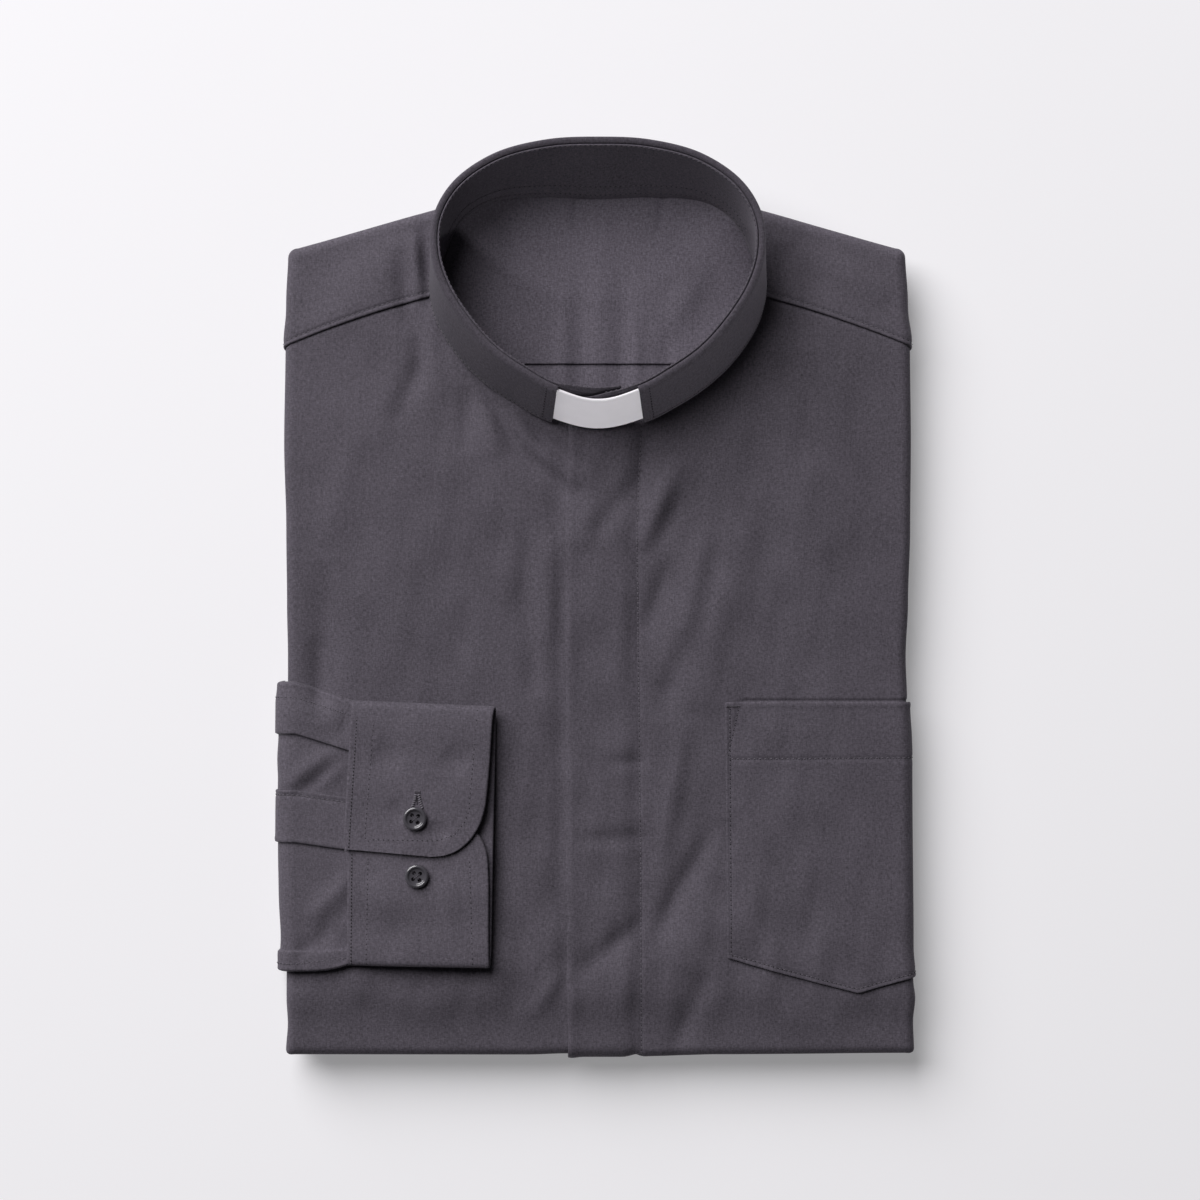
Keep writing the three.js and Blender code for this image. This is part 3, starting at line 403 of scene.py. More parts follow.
class ClothMesh:
    """Closed meshes of cloth, made from grids of points."""

    EDGE_STEPS = 4

    @staticmethod
    def _strip(first: Array, second: Array, around: bool) -> Array:
        """Quads between two lines of point numbers."""
        ends = [np.roll(line, -1) if around else line[1:] for line in (first, second)]
        starts = [line if around else line[:-1] for line in (first, second)]
        return np.stack([starts[0], starts[1], ends[1], ends[0]], axis=-1).reshape(-1, 4)

    @classmethod
    def wall(cls, name: str, outer: Array, inner: Array, uv: Array, tube: bool = False) -> bpy.types.Mesh:
        """A wall of cloth between two grids of points, with rounded edges.

        Args:
            name: The mesh's name.
            outer: Grid of points of one face, rows by columns by three, in millimetres.
            inner: The other face's grid.
            uv: Each point's place on the flat cloth, in millimetres.
            tube: Whether the columns meet round a tube.

        Returns:
            The closed mesh, in metres, with its faces pointing outwards.
        """
        rows, columns = outer.shape[:2]
        number = np.arange(rows * columns).reshape(rows, columns)
        points, flats = [outer.reshape(-1, 3), inner.reshape(-1, 3)], [uv.reshape(-1, 2)] * 2
        faces = []
        for row in range(rows - 1):
            faces.append(cls._strip(number[row], number[row + 1], tube))
            faces.append(cls._strip(number[row + 1], number[row], tube) + rows * columns)
        i, j = np.indices((rows, columns))
        if tube:
            loops = [(i[0], j[0], np.clip(i[0], 1, rows - 2), j[0])]
            loops.append((i[-1], j[-1, ::-1], np.clip(i[-1], 1, rows - 2), j[-1, ::-1]))
        else:
            ring = [(i[0, :-1], j[0, :-1]), (i[:-1, -1], j[:-1, -1]), (i[-1, :0:-1], j[-1, :0:-1])]
            ring.append((i[:0:-1, 0], j[:0:-1, 0]))
            at_i, at_j = (np.concatenate(part) for part in zip(*ring))
            loops = [(at_i, at_j, np.clip(at_i, 1, rows - 2), np.clip(at_j, 1, columns - 2))]
        middle = (outer + inner) / 2
        total = 2 * rows * columns
        for at_i, at_j, in_i, in_j in loops:
            half = (outer[at_i, at_j] - inner[at_i, at_j]) / 2
            thick = np.linalg.norm(half, axis=-1, keepdims=True)
            away = middle[at_i, at_j] - middle[in_i, in_j]
            away = unit(away - half * (away * half).sum(-1, keepdims=True) / np.maximum(thick, 1e-9) ** 2)
            lines = [number[at_i, at_j]]
            for step in range(1, cls.EDGE_STEPS):
                turn = math.pi * step / cls.EDGE_STEPS
                points.append(middle[at_i, at_j] + half * math.cos(turn) + away * thick * math.sin(turn))
                flats.append(uv[at_i, at_j])
                lines.append(total + np.arange(len(at_i)))
                total += len(at_i)
            lines.append(number[at_i, at_j] + rows * columns)
            faces += [cls._strip(after, before, True) for before, after in zip(lines, lines[1:])]
        return cls.close(name, np.concatenate(points), np.concatenate(faces), np.concatenate(flats))

    @staticmethod
    def close(name: str, points: Array, faces: Array, uv: Array) -> bpy.types.Mesh:
        """A smooth mesh from points and quads, turned so that its faces point outwards.

        Args:
            name: The mesh's name.
            points: Its points, in the garment's millimetres.
            faces: Four point numbers for each face.
            uv: Each point's place on the flat cloth, in millimetres.

        Returns:
            The mesh, in metres and in the part's frame.
        """
        a, b, c, d = (points[faces[:, k]] for k in range(4))
        volume = (np.cross(a, b) * c).sum() + (np.cross(a, c) * d).sum()
        if volume < 0:
            faces = faces[:, ::-1]
        mesh = bpy.data.meshes.new(name)
        mesh.from_pydata(((points + CENTRING) * MM).tolist(), [], faces.tolist())
        corner = np.empty(len(mesh.loops), dtype=np.int64)
        mesh.loops.foreach_get("vertex_index", corner)
        mesh.uv_layers.new(name=UV_NAME).data.foreach_set("uv", (uv[corner] * MM).ravel())
        mesh.polygons.foreach_set("use_smooth", np.ones(len(mesh.polygons), dtype=bool))
        mesh.update()
        return mesh


def add_piece(name: str, mesh: bpy.types.Mesh, finish: bpy.types.Material, slot: Slot, *nodes: str) -> bpy.types.Object:
    """Adds a mesh to the scene as a piece of the garment.

    Args:
        name: The piece's name.
        mesh: Its mesh.
        finish: Its material.
        slot: The record's slot that the finish belongs to; not used.
        nodes: The solids that it stands for.

    Returns:
        The new object.
    """
    piece = bpy.data.objects.new(name, mesh)
    bpy.context.scene.collection.objects.link(piece)
    mesh.materials.clear()
    mesh.materials.append(finish)
    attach(piece, "root")
    if nodes:
        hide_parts(*nodes)
    SHOWN.info("%s: %d faces", name, len(mesh.polygons))
    return piece


class Signal:
    """A shader value whose arithmetic adds Math nodes."""

    def __init__(self, tree: "Shader", socket: bpy.types.NodeSocket) -> None:
        """Wraps a socket of a tree."""
        self.tree, self.socket = tree, socket

    def _math(self, operation: str, *values: "Signal | float") -> "Signal":
        """Adds one Math node for an operation on values."""
        inputs = dict(enumerate(values))
        return self.tree.add("ShaderNodeMath", {"operation": operation}, inputs)

    def __add__(self, other: "Signal | float") -> "Signal":
        """The sum."""
        return self._math("ADD", self, other)

    def __sub__(self, other: "Signal | float") -> "Signal":
        """What is left."""
        return self._math("SUBTRACT", self, other)

    def __rsub__(self, other: "Signal | float") -> "Signal":
        """What is left of the other."""
        return self._math("SUBTRACT", other, self)

    def __mul__(self, other: "Signal | float") -> "Signal":
        """The product."""
        return self._math("MULTIPLY", self, other)

    __radd__ = __add__
    __rmul__ = __mul__


class Shader:
    """A material's tree of nodes, ending in one Principled shader."""

    def __init__(self, name: str) -> None:
        """Starts an empty material."""
        self.material = bpy.data.materials.new(name)
        self.material.use_nodes = True
        self.nodes, self.links = self.material.node_tree.nodes, self.material.node_tree.links
        self.nodes.clear()
        self.surface = self._make("ShaderNodeBsdfPrincipled", {})
        out = self._make("ShaderNodeOutputMaterial", {})
        self.links.new(self.surface.outputs[0], out.inputs[0])

    def _make(self, kind: str, settings: dict[str, object]) -> bpy.types.Node:
        """Adds a node and sets its settings."""
        node = self.nodes.new(kind)
        for key, value in settings.items():
            setattr(node, key, value)
        return node

    def _feed(self, node: bpy.types.Node, inputs: dict[str | int, object]) -> None:
        """Sets or links a node's sockets."""
        for key, value in inputs.items():
            if isinstance(value, Signal):
                self.links.new(value.socket, node.inputs[key])
            else:
                node.inputs[key].default_value = value

    def add(
        self,
        kind: str,
        settings: dict[str, object],
        inputs: dict[str | int, object],
        output: str | int = 0,
    ) -> Signal:
        """Adds any node.

        Args:
            kind: The node's type.
            settings: Its properties, set first.
            inputs: Values or links of its sockets.
            output: The socket that is handed back.

        Returns:
            The output, for more arithmetic.
        """
        node = self._make(kind, settings)
        self._feed(node, inputs)
        return Signal(self, node.outputs[output])

    def place(self) -> Signal:
        """Places in the object's own coordinates."""
        return self.add("ShaderNodeTexCoord", {}, {}, "Object")

    def noise(self, where: Signal, scale: float, detail: float = 2.0, roughness: float = 0.5) -> Signal:
        """Noise over a place, from about 0 to 1."""
        inputs = {"Vector": where, "Scale": scale, "Detail": detail, "Roughness": roughness}
        return self.add("ShaderNodeTexNoise", {}, inputs, "Fac")

    def scaled(self, where: Signal, scale: tuple[float, float, float], turn: float = 0.0) -> Signal:
        """A place stretched and turned by a Mapping node."""
        return self.add("ShaderNodeMapping", {}, {"Vector": where, "Scale": scale, "Rotation": (0, 0, turn)})

    def tint(self, share: Signal, low: tuple[float, ...], high: tuple[float, ...]) -> Signal:
        """A colour between two."""
        inputs = {0: share, 6: (*low, 1.0), 7: (*high, 1.0)}
        return self.add("ShaderNodeMix", {"data_type": "RGBA"}, inputs, 2)

    def finish(self, inputs: dict[str, object], bump: Signal | None = None, depth: float = 0.0) -> bpy.types.Material:
        """Feeds the Principled shader.

        Args:
            inputs: Values or links of its sockets.
            bump: Height of the surface, if it has any.
            depth: How far, in metres, a height of 1 stands out.

        Returns:
            The material.
        """
        self._feed(self.surface, inputs)
        if bump is not None:
            raised = {"Height": bump, "Distance": depth, "Strength": 1.0}
            self._feed(self.surface, {"Normal": self.add("ShaderNodeBump", {}, raised)})
        return self.material


@dataclass(frozen=True)
class Poplin:
    """Plain-woven cotton, dark or light, with its threads, its mottle and its bloom."""

    name: str
    colour: tuple[float, float, float]
    contrast: float = 0.46
    mottle: float = 0.17
    roughness: float = 0.82
    bloom: float = 0.10
    thread: float = 0.00055
    clouds: float = 42.0
    speckle: float = 900.0
    darkest: float = 0.4
    lightest: float = 1.6
    depth: float = 0.00009

    def shade(self) -> bpy.types.Material:
        """Builds the cloth's material.

        Returns:
            The material, whose threads follow the piece's own flat cloth.
        """
        tree = Shader(self.name)
        flat = tree.add("ShaderNodeUVMap", {"uv_map": UV_NAME}, {})
        place = tree.place()
        count = 1 / self.thread
        warp = tree.noise(tree.scaled(flat, (count, count * 0.3, 1)), 1.0, 2.0, 0.6)
        weft = tree.noise(tree.scaled(flat, (count * 0.35, count * 1.1, 1)), 1.0, 2.0, 0.6)
        slubs = tree.noise(tree.scaled(flat, (count * 0.5, count * 0.03, 1)), 1.0, 1.0)
        weave = warp * 0.5 + weft * 0.5
        broad = tree.noise(place, self.clouds, 2.0)
        fine = tree.noise(place, self.speckle, 2.0, 0.7)
        tone = 1.0 + (weave - 0.5) * (4.4 * self.contrast) + (slubs - 0.5) * (0.5 * self.contrast)
        tone = tone + (broad - 0.5) * (1.6 * self.mottle) + (fine - 0.5) * (5.0 * self.mottle)
        span = self.lightest - self.darkest
        colour = tree.tint((tone - self.darkest) * (1 / span), *shades(self.colour, self.darkest, self.lightest))
        return tree.finish(
            {
                "Base Color": colour,
                "Roughness": self.roughness + (fine - 0.5) * 0.12,
                "Sheen Weight": self.bloom,
                "Sheen Roughness": 0.45,
                "Sheen Tint": (0.85, 0.82, 0.9, 1),
                "Specular IOR Level": 0.22,
            },
            weave + broad * 0.6,
            self.depth,
        )


@dataclass(frozen=True)
class Moulded:
    """Moulded plastic: its colour, its gloss and its faint flow and scuffs."""

    name: str
    colour: tuple[float, float, float]
    roughness: float
    coat: float
    grain: float = 90.0
    cloud: float = 0.05
    depth: float = 0.00002

    def shade(self) -> bpy.types.Material:
        """Builds the plastic's material."""
        tree = Shader(self.name)
        place = tree.place()
        cloud = tree.noise(place, self.grain, 3.0)
        scuff = tree.noise(tree.scaled(place, (1400, 300, 600), 0.6), 1.0, 3.0)
        inputs = {
            "Base Color": tree.tint(cloud, *shades(self.colour, 1 - self.cloud, 1 + self.cloud)),
            "Roughness": self.roughness + (scuff - 0.5) * 0.1,
            "Coat Weight": self.coat,
            "Coat Roughness": 0.12,
        }
        return tree.finish(inputs, cloud + scuff * 0.25, self.depth)


@dataclass(frozen=True)
class Twist:
    """Sewing thread, or the painted shade of the needle holes between its stitches."""

    name: str
    colour: tuple[float, float, float]
    roughness: float = 0.6
    strands: float = 5200.0
    twist: float = 0.25
    depth: float = 0.00005

    def shade(self) -> bpy.types.Material:
        """Builds the thread's material, with its twist."""
        tree = Shader(self.name)
        place = tree.place()
        strand = tree.noise(tree.scaled(place, (self.strands,) * 3), 1.0, 1.0)
        colour = tree.tint(strand, *shades(self.colour, 1 - self.twist, 1 + self.twist))
        return tree.finish({"Base Color": colour, "Roughness": self.roughness}, strand, self.depth)


@dataclass(frozen=True)
class Stitching:
    """Rows of machine stitches: light thread between near-black beads that paint the shade of its needle holes."""

    thread: bpy.types.Material
    hole: bpy.types.Material
    slant: float = math.radians(16)
    sizes: ClassVar[tuple[str, ...]] = ("Pitch", "Length", "Width", "Height", "Hole")

    def _stream(
        self,
        group: bpy.types.NodeTree,
        points: bpy.types.NodeSocket,
        given: bpy.types.Node,
        finish: bpy.types.Material,
    ) -> bpy.types.NodeSocket:
        """One stitch, or one bead of painted needle-hole shade, on every point of a row.

        Args:
            group: The tree that it is added to.
            points: The row's points.
            given: The tree's inputs.
            finish: Its material.

        Returns:
            The real mesh of them all.
        """
        add, link = group.nodes.new, group.links.new
        # Holes are near-black beads of painted shade, set half a stitch along the row.
        is_hole = finish == self.hole
        bead = add("GeometryNodeMeshUVSphere")
        bead.inputs["Segments"].default_value = 8
        bead.inputs["Rings"].default_value = 5
        bead.inputs["Radius"].default_value = 0.5
        lie = add("GeometryNodeInputNamedAttribute")
        lie.data_type = "FLOAT_VECTOR"
        lie.inputs["Name"].default_value = "lie"
        run = add("GeometryNodeInputTangent")
        facing = add("FunctionNodeAxesToRotation")
        facing.primary_axis, facing.secondary_axis = "Z", "X"
        link(lie.outputs["Attribute"], facing.inputs["Primary Axis"])
        link(run.outputs[0], facing.inputs["Secondary Axis"])
        slanted = add("FunctionNodeRotateRotation")
        slanted.rotation_space = "LOCAL"
        link(facing.outputs[0], slanted.inputs["Rotation"])
        slanted.inputs["Rotate By"].default_value = (0, 0, 0 if is_hole else self.slant)
        size = add("ShaderNodeCombineXYZ")
        for axis, name in enumerate(("Hole",) * 3 if is_hole else ("Length", "Width", "Height")):
            link(given.outputs[name], size.inputs[axis])
        placed = add("GeometryNodeInstanceOnPoints")
        link(bead.outputs[0], placed.inputs["Instance"])
        link(slanted.outputs[0], placed.inputs["Rotation"])
        link(size.outputs[0], placed.inputs["Scale"])
        if is_hole:
            moved = add("GeometryNodeSetPosition")
            step = add("ShaderNodeVectorMath")
            step.operation = "SCALE"
            link(run.outputs[0], step.inputs[0])
            half = add("ShaderNodeMath")
            half.operation = "MULTIPLY"
            link(given.outputs["Pitch"], half.inputs[0])
            half.inputs[1].default_value = 0.5
            link(half.outputs[0], step.inputs["Scale"])
            link(points, moved.inputs["Geometry"])
            link(step.outputs[0], moved.inputs["Offset"])
            points = moved.outputs[0]
        link(points, placed.inputs["Points"])
        real = add("GeometryNodeRealizeInstances")
        link(placed.outputs[0], real.inputs[0])
        dressed = add("GeometryNodeSetMaterial")
        dressed.inputs["Material"].default_value = finish
        link(real.outputs[0], dressed.inputs[0])
        return dressed.outputs[0]

    def tree(self) -> bpy.types.NodeTree:
        """Builds the tree of nodes that sews along a row.

        Returns:
            The tree, with its sizes as named inputs.
        """
        group = bpy.data.node_groups.new("machine_stitches", "GeometryNodeTree")
        group.interface.new_socket("Geometry", in_out="INPUT", socket_type="NodeSocketGeometry")
        for name in self.sizes:
            group.interface.new_socket(name, in_out="INPUT", socket_type="NodeSocketFloat")
        group.interface.new_socket("Geometry", in_out="OUTPUT", socket_type="NodeSocketGeometry")
        add, link = group.nodes.new, group.links.new
        given, made = add("NodeGroupInput"), add("NodeGroupOutput")
        curve = add("GeometryNodeMeshToCurve")
        even = add("GeometryNodeResampleCurve")
        even.mode = "LENGTH"
        link(given.outputs["Geometry"], curve.inputs[0])
        link(curve.outputs[0], even.inputs["Curve"])
        link(given.outputs["Pitch"], even.inputs["Length"])
        joined = add("GeometryNodeJoinGeometry")
        for finish in (self.thread, self.hole):
            link(self._stream(group, even.outputs[0], given, finish), joined.inputs[0])
        link(joined.outputs[0], made.inputs[0])
        return group


@dataclass(frozen=True)
class Seam:
    """A row of stitches: its points, the way that the cloth faces there, and the stitch's sizes."""

    points: Array
    lie: Array
    pitch: float = 2.1
    length: float = 1.35
    width: float = 0.42
    height: float = 0.34
    # The hole is the size of a near-black bead that paints the shade in each needle hole.
    hole: float = 0.36


class SewingMachine:
    """Turns seams into meshes of stitches."""

    def __init__(self, stitching: Stitching) -> None:
        """Takes the thread that every seam is sewn with."""
        self.stitching = stitching
        self.group = stitching.tree()

    def _sew(self, seam: Seam) -> bpy.types.Mesh:
        """Sews one row.

        Args:
            seam: The row.

        Returns:
            The plain mesh of its stitches.
        """
        line = bpy.data.meshes.new("row")
        edges = [(k, k + 1) for k in range(len(seam.points) - 1)]
        line.from_pydata(((seam.points + CENTRING) * MM).tolist(), edges, [])
        lie = line.attributes.new("lie", "FLOAT_VECTOR", "POINT")
        lie.data.foreach_set("vector", np.ascontiguousarray(unit(seam.lie)).ravel())
        holder = bpy.data.objects.new("row", line)
        bpy.context.scene.collection.objects.link(holder)
        sewn = holder.modifiers.new("stitches", "NODES")
        sewn.node_group = self.group
        sizes = (seam.pitch, seam.length, seam.width, seam.height, seam.hole)
        for name, size in zip(self.stitching.sizes, sizes):
            sewn[self.group.interface.items_tree[name].identifier] = size * MM
        graph = bpy.context.evaluated_depsgraph_get()
        mesh = bpy.data.meshes.new_from_object(holder.evaluated_get(graph), depsgraph=graph)
        bpy.data.objects.remove(holder)
        return mesh

    def sew(self, name: str, slot: Slot, seams: list[Seam]) -> bpy.types.Object:
        """Sews all the rows of one part of the garment as one piece.

        Args:
            name: The piece's name.
            slot: The record's slot that it takes its finish from.
            seams: Its rows.

        Returns:
            The piece.
        """
        points, faces, kinds, total = [], [], [], 0
        for seam in seams:
            mesh = self._sew(seam)
            place = np.empty(3 * len(mesh.vertices))
            mesh.vertices.foreach_get("co", place)
            points.append(place.reshape(-1, 3))
            names = [finish.name if finish else "" for finish in mesh.materials]
            for polygon in mesh.polygons:
                faces.append([total + corner for corner in polygon.vertices])
                kinds.append(int(names[polygon.material_index] == self.stitching.hole.name))
            total += len(mesh.vertices)
        rows = bpy.data.meshes.new(name)
        rows.from_pydata(np.concatenate(points).tolist(), [], faces)
        piece = add_piece(name, rows, self.stitching.thread, slot)
        rows.materials.append(self.stitching.hole)
        rows.polygons.foreach_set("material_index", np.array(kinds, dtype=np.int32))
        rows.polygons.foreach_set("use_smooth", np.ones(len(kinds), dtype=bool))
        rows.update()
        return piece


def sewn_along(place: Place, lift: float, corners: Table, spacing: float = 1.0, **sizes: float) -> Seam:
    """A row of stitches along a line drawn on the flat cloth.

    Args:
        place: Gives the points of the cloth's face at flat places.
        lift: How far the thread stands proud of the face.
        corners: The line's corners on the flat cloth.
        spacing: Distance between the row's points.
        sizes: The stitch's sizes, where they aren't the usual ones.

    Returns:
        The row.
    """
    line = np.array(corners, float)
    length = length_along(line)
    at = np.linspace(0, length[-1], max(int(length[-1] / spacing), 2) + 1)
    x, y = (np.interp(at, length, line[:, axis]) for axis in (0, 1))
    points = place(x, y)
    near = 0.4
    across = place(x + near, y) - place(x - near, y)
    along = place(x, y + near) - place(x, y - near)
    lie = unit(np.cross(across, along))
    return Seam(points + lift * lie, lie, **sizes)


def dip(x: Array, y: Array, corners: Table, width: float = 0.9, depth: float = 0.22) -> Array:
    """How far a row of stitches draws the cloth down at places on it.

    Args:
        x: Places across the flat cloth.
        y: Places along it.
        corners: The row's corners.
        width: How far from the row the cloth is drawn down.
        depth: How far down it is on the row.

    Returns:
        The depth there.
    """
    ends = np.array(corners, float)
    away = np.full(np.shape(x), np.inf)
    for a, b in zip(ends, ends[1:]):
        run = b - a
        share = np.clip(((x - a[0]) * run[0] + (y - a[1]) * run[1]) / (run @ run), 0, 1)
        away = np.minimum(away, np.hypot(x - a[0] - share * run[0], y - a[1] - share * run[1]))
    return depth * hump(away, width)


@dataclass(frozen=True)
class Collar:
    """The standing collar: an outer band with a rolled rim, the inner band inside it and the tab in its window."""

    body: FoldedBody
    # X and Y of the seam to the neck, and X, Y and Z of the rim, from the front round to the back.
    rows: Table = (
        (0, 73.7, 0, 85.4, 47.5), (19, 76.3, 16.9, 88.1, 47.5), (32.3, 82.9, 29.5, 94.8, 47.6),
        (45, 91.2, 43, 104.3, 47.8), (57.1, 103.1, 54, 116.5, 48), (66.4, 118.5, 62.8, 130.5, 48),
        (69, 133, 67, 144, 48), (65.6, 147.5, 66.3, 158.5, 48), (57.5, 161.5, 58.5, 172, 48),
        (44, 169.8, 42, 183.3, 48), (22, 171.8, 21, 188.9, 48), (0, 171, 0, 190, 48),
    )
    # The rows at the back, where the neck hangs lower than the fronts, and the seam's height there.
    seam_heights: Table = ((8, 18.9), (9, 15.0), (10, 14.0), (11, 13.9))
    seam_lift: float = 0.55
    fly_reach: float = 20.0
    fly_lift: float = 1.5
    window: float = 1.0
    outer: float = 2.0
    wall: float = 0.8
    full_height: float = 28.0
    face_heights: tuple[float, ...] = (0.15, 3, 6, 9, 12, 15, 18, 21, 24)

    @property
    def around(self) -> int:
        """Rows once round the collar."""
        return 2 * (len(self.rows) - 1)

    def _curves(self) -> tuple[Array, Array]:
        """The seam's and the rim's points, once round."""
        seam, rim = [], []
        lifted = dict(self.seam_heights)
        for side, rows in ((1, list(enumerate(self.rows))), (-1, list(enumerate(self.rows))[-2:0:-1])):
            for number, (seam_x, seam_y, rim_x, rim_y, rim_z) in rows:
                on_fly = self.fly_lift if seam_x < self.fly_reach else 0
                height = lifted.get(number) or float(self.body.skin(seam_x, seam_y)) + on_fly + self.seam_lift
                seam.append((side * seam_x, seam_y, height))
                rim.append((side * rim_x, rim_y, rim_z))
        return np.array(seam), np.array(rim)

    def at(self, row: Array | float, out: Array | float, height: Array | float, down: bool = False) -> Array:
        """A point of the collar.

        Args:
            row: The place round it, in rows from the front.
            out: A step outwards.
            height: How far up from the seam.
            down: Whether the height is counted down from the rim.

        Returns:
            The points there.
        """
        row, out, height = np.broadcast_arrays(*(np.asarray(value, float) for value in (row, out, height)))
        near = 0.05
        seams, rims = self._curves()
        seam, rim = curve_through(seams, row), curve_through(rims, row)
        run = curve_through(seams, row + near) - curve_through(seams, row - near)
        run[..., 2] = 0
        run = unit(run)
        outward = np.stack([run[..., 1], -run[..., 0], np.zeros_like(row)], axis=-1)
        full = np.linalg.norm(seam - rim, axis=-1)
        share = ((full - height) if down else height) / full
        return blend(seam, rim, share[..., None]) + out[..., None] * outward

    def _lengths(self, stations: Array) -> Array:
        """Distance along the rim at stations."""
        return length_along(self.at(stations, 0, 0, down=True))

    def _band(
        self, name: str, stations: Array, section: Table, shift: Array | float = 0.0, fall: Array | float = 0.0
    ) -> bpy.types.Mesh:
        """A band whose section runs from the seam up and over the rim.

        Args:
            name: The mesh's name.
            stations: Places round the collar, in rows.
            section: Step outwards of the outer and inner face, and height of both: up from the seam
                where it is above 0, or down from the rim.
            shift: A step outwards at each station.
            fall: How far the rim falls at each station.

        Returns:
            The mesh.
        """
        row = np.repeat(stations[:, None], len(section), axis=1)
        shift, fall = (np.broadcast_to(value, stations.shape)[:, None] for value in (shift, fall))
        sheets = []
        for out, height in ((0, 1), (2, 3)):
            steps_out = np.array([line[out] for line in section])[None, :] + shift
            heights = np.array([line[height] for line in section])[None, :] + 0 * row
            up = self.at(row, steps_out, np.maximum(heights, 0) * (1 - fall / self.full_height))
            down = self.at(row, steps_out, np.maximum(-heights, 0) + fall, down=True)
            sheets.append(np.where((heights > 0)[..., None], up, down))
        faces = sheets[0]
        along = length_along(faces[len(faces) // 2])
        uv = np.stack(np.broadcast_arrays(self._lengths(stations)[:, None], along[None, :]), axis=-1)
        return ClothMesh.wall(name, sheets[0], sheets[1], uv)

    def outer_band(self) -> bpy.types.Mesh:
        """The outer band: up its face, round the rim and down to the seam of the inner band."""
        face = [(self.outer, height, self.outer - self.wall, height) for height in self.face_heights]
        rolled = [
            (2.0, -4.0, 1.2, -4.0), (2.0, -2.6, 1.2, -2.8), (1.97, -1.7, 1.15, -2.1), (1.8, -1.0, 1.05, -1.6),
            (1.45, -0.45, 0.9, -1.3), (0.95, -0.12, 0.6, -1.1), (0.4, -0.005, 0.3, -1.0), (-0.15, -0.1, -0.05, -1.05),
            (-0.6, -0.42, -0.35, -1.3), (-0.9, -0.95, -0.4, -1.5), (-1.0, -1.6, -0.5, -2.0),
        ]
        first, last, close = self.window, self.around - self.window, 0.2
        stations = steps((first, 0), (first + close, 12), (last - close, 300), (last, 12))
        return self._band("outer_band", stations, (*face, *rolled))

    def inner_shift(self, stations: Array) -> Array:
        """How the inner band's two ends pass each other at the front."""
        left = 1.75 * (1 - ease(stations, -0.35, 1.2))
        return left - 0.95 * ease(stations - self.around, -1.15, -0.5)

    def inner_band(self) -> bpy.types.Mesh:
        """The inner band: down the inside from its edge at the rim, its left end over its right end."""
        section = [(-0.8, height, -2.0, height) for height in self.face_heights]
        rim = (
            (-0.95, -4.0, -2.0, -4.0), (-1.1, -2.0, -2.02, -2.2), (-1.2, -1.05, -2.05, -1.3),
            (-1.42, -0.85, -1.9, -0.95),
        )
        stations = steps((-0.45, 0), (1.5, 60), (self.around - 1.5, 260), (self.around + 0.55, 60))
        rounded = 4.5 * (1 - ease(stations, -0.6, 0.35))
        return self._band("inner_band", stations, (*section, *rim), self.inner_shift(stations), rounded)

    def tab(self) -> bpy.types.Mesh:
        """The white tab: a stiff strip bowed out in the window, with a raised lip along both edges."""
        stations = steps((-1.7, 0), (1.7, 100))
        share = steps((0.0, 0), (0.05, 4), (0.12, 3), (0.88, 14), (0.95, 3), (1.0, 4))
        row, along = np.meshgrid(stations, share, indexing="ij")
        bow = 1.75 * (1 - ease(np.abs(row), 0.05, 1.15))
        lip = 0.22 * (1 - ease(np.minimum(along, 1 - along), 0.035, 0.075))
        height = blend(1.6, 26.0, along)
        outer = self.at(row, bow + 0.45 + lip, height)
        inner = self.at(row, bow - 0.45, height)
        uv = np.stack([self._lengths(stations)[:, None] + 0 * row, 24.4 * along], axis=-1)
        return ClothMesh.wall("tab", outer, inner, uv)

    def _outward(self, rows: Array) -> Array:
        """Which way the outer face looks."""
        return self.at(rows, 1.0, 5.0) - self.at(rows, 0.0, 5.0)

    def seams(self) -> list[Seam]:
        """The collar's rows of stitches."""
        full = self.around
        rim = np.linspace(0.2, full - 0.2, 400)
        back = np.linspace(7.3, full - 7.3, 140)
        base = np.linspace(self.window + 0.1, full - self.window - 0.1, 360)
        rows = [
            Seam(
                self.at(rim, -2.02 + self.inner_shift(rim), 1.0, down=True),
                UP - 0.8 * self._outward(rim), length=1.2, width=0.36, hole=0.3,
            ),
            Seam(self.at(base, 2.12, 1.7), self._outward(base), length=1.0, width=0.34),
        ]
        for height in (3.0, 9.0):
            rows.insert(-1, Seam(self.at(back, -2.09, height), -self._outward(back), length=1.0, width=0.3))
        for side in (1, -1):
            edge = (full + side * (self.window + 0.26)) % full + np.zeros(60)
            heights = np.linspace(1.5, 26.5, 60)
            rows.append(Seam(self.at(edge, 2.1, heights), self._outward(edge), length=1.1, width=0.34, hole=0.36))
        return rows

    def neck_edge(self, first: float, last: float, out: float) -> tuple[Array, Array]:
        """The collar's seam as places on the flat garment.

        Args:
            first: The row that it starts at.
            last: The row that it ends at.
            out: A step outwards.

        Returns:
            Its places across and along, from the middle outwards.
        """
        points = self.at(np.linspace(first, last, 160), out, 0.0)
        order = np.argsort(points[:, 0])
        return points[order, 0], points[order, 1]


@dataclass(frozen=True)
class YokeSeam:
    """Where the yoke is sewn to the fronts, by distance from where it meets the collar."""

    x: float = 70.8
    y: float = 127.6
    slope: float = 0.26
    bend: float = 0.0013

    def at(self, x: Array) -> Array:
        """Y of the seam."""
        past = np.abs(x) - self.x
        return self.y - self.slope * past - self.bend * past * np.abs(past)


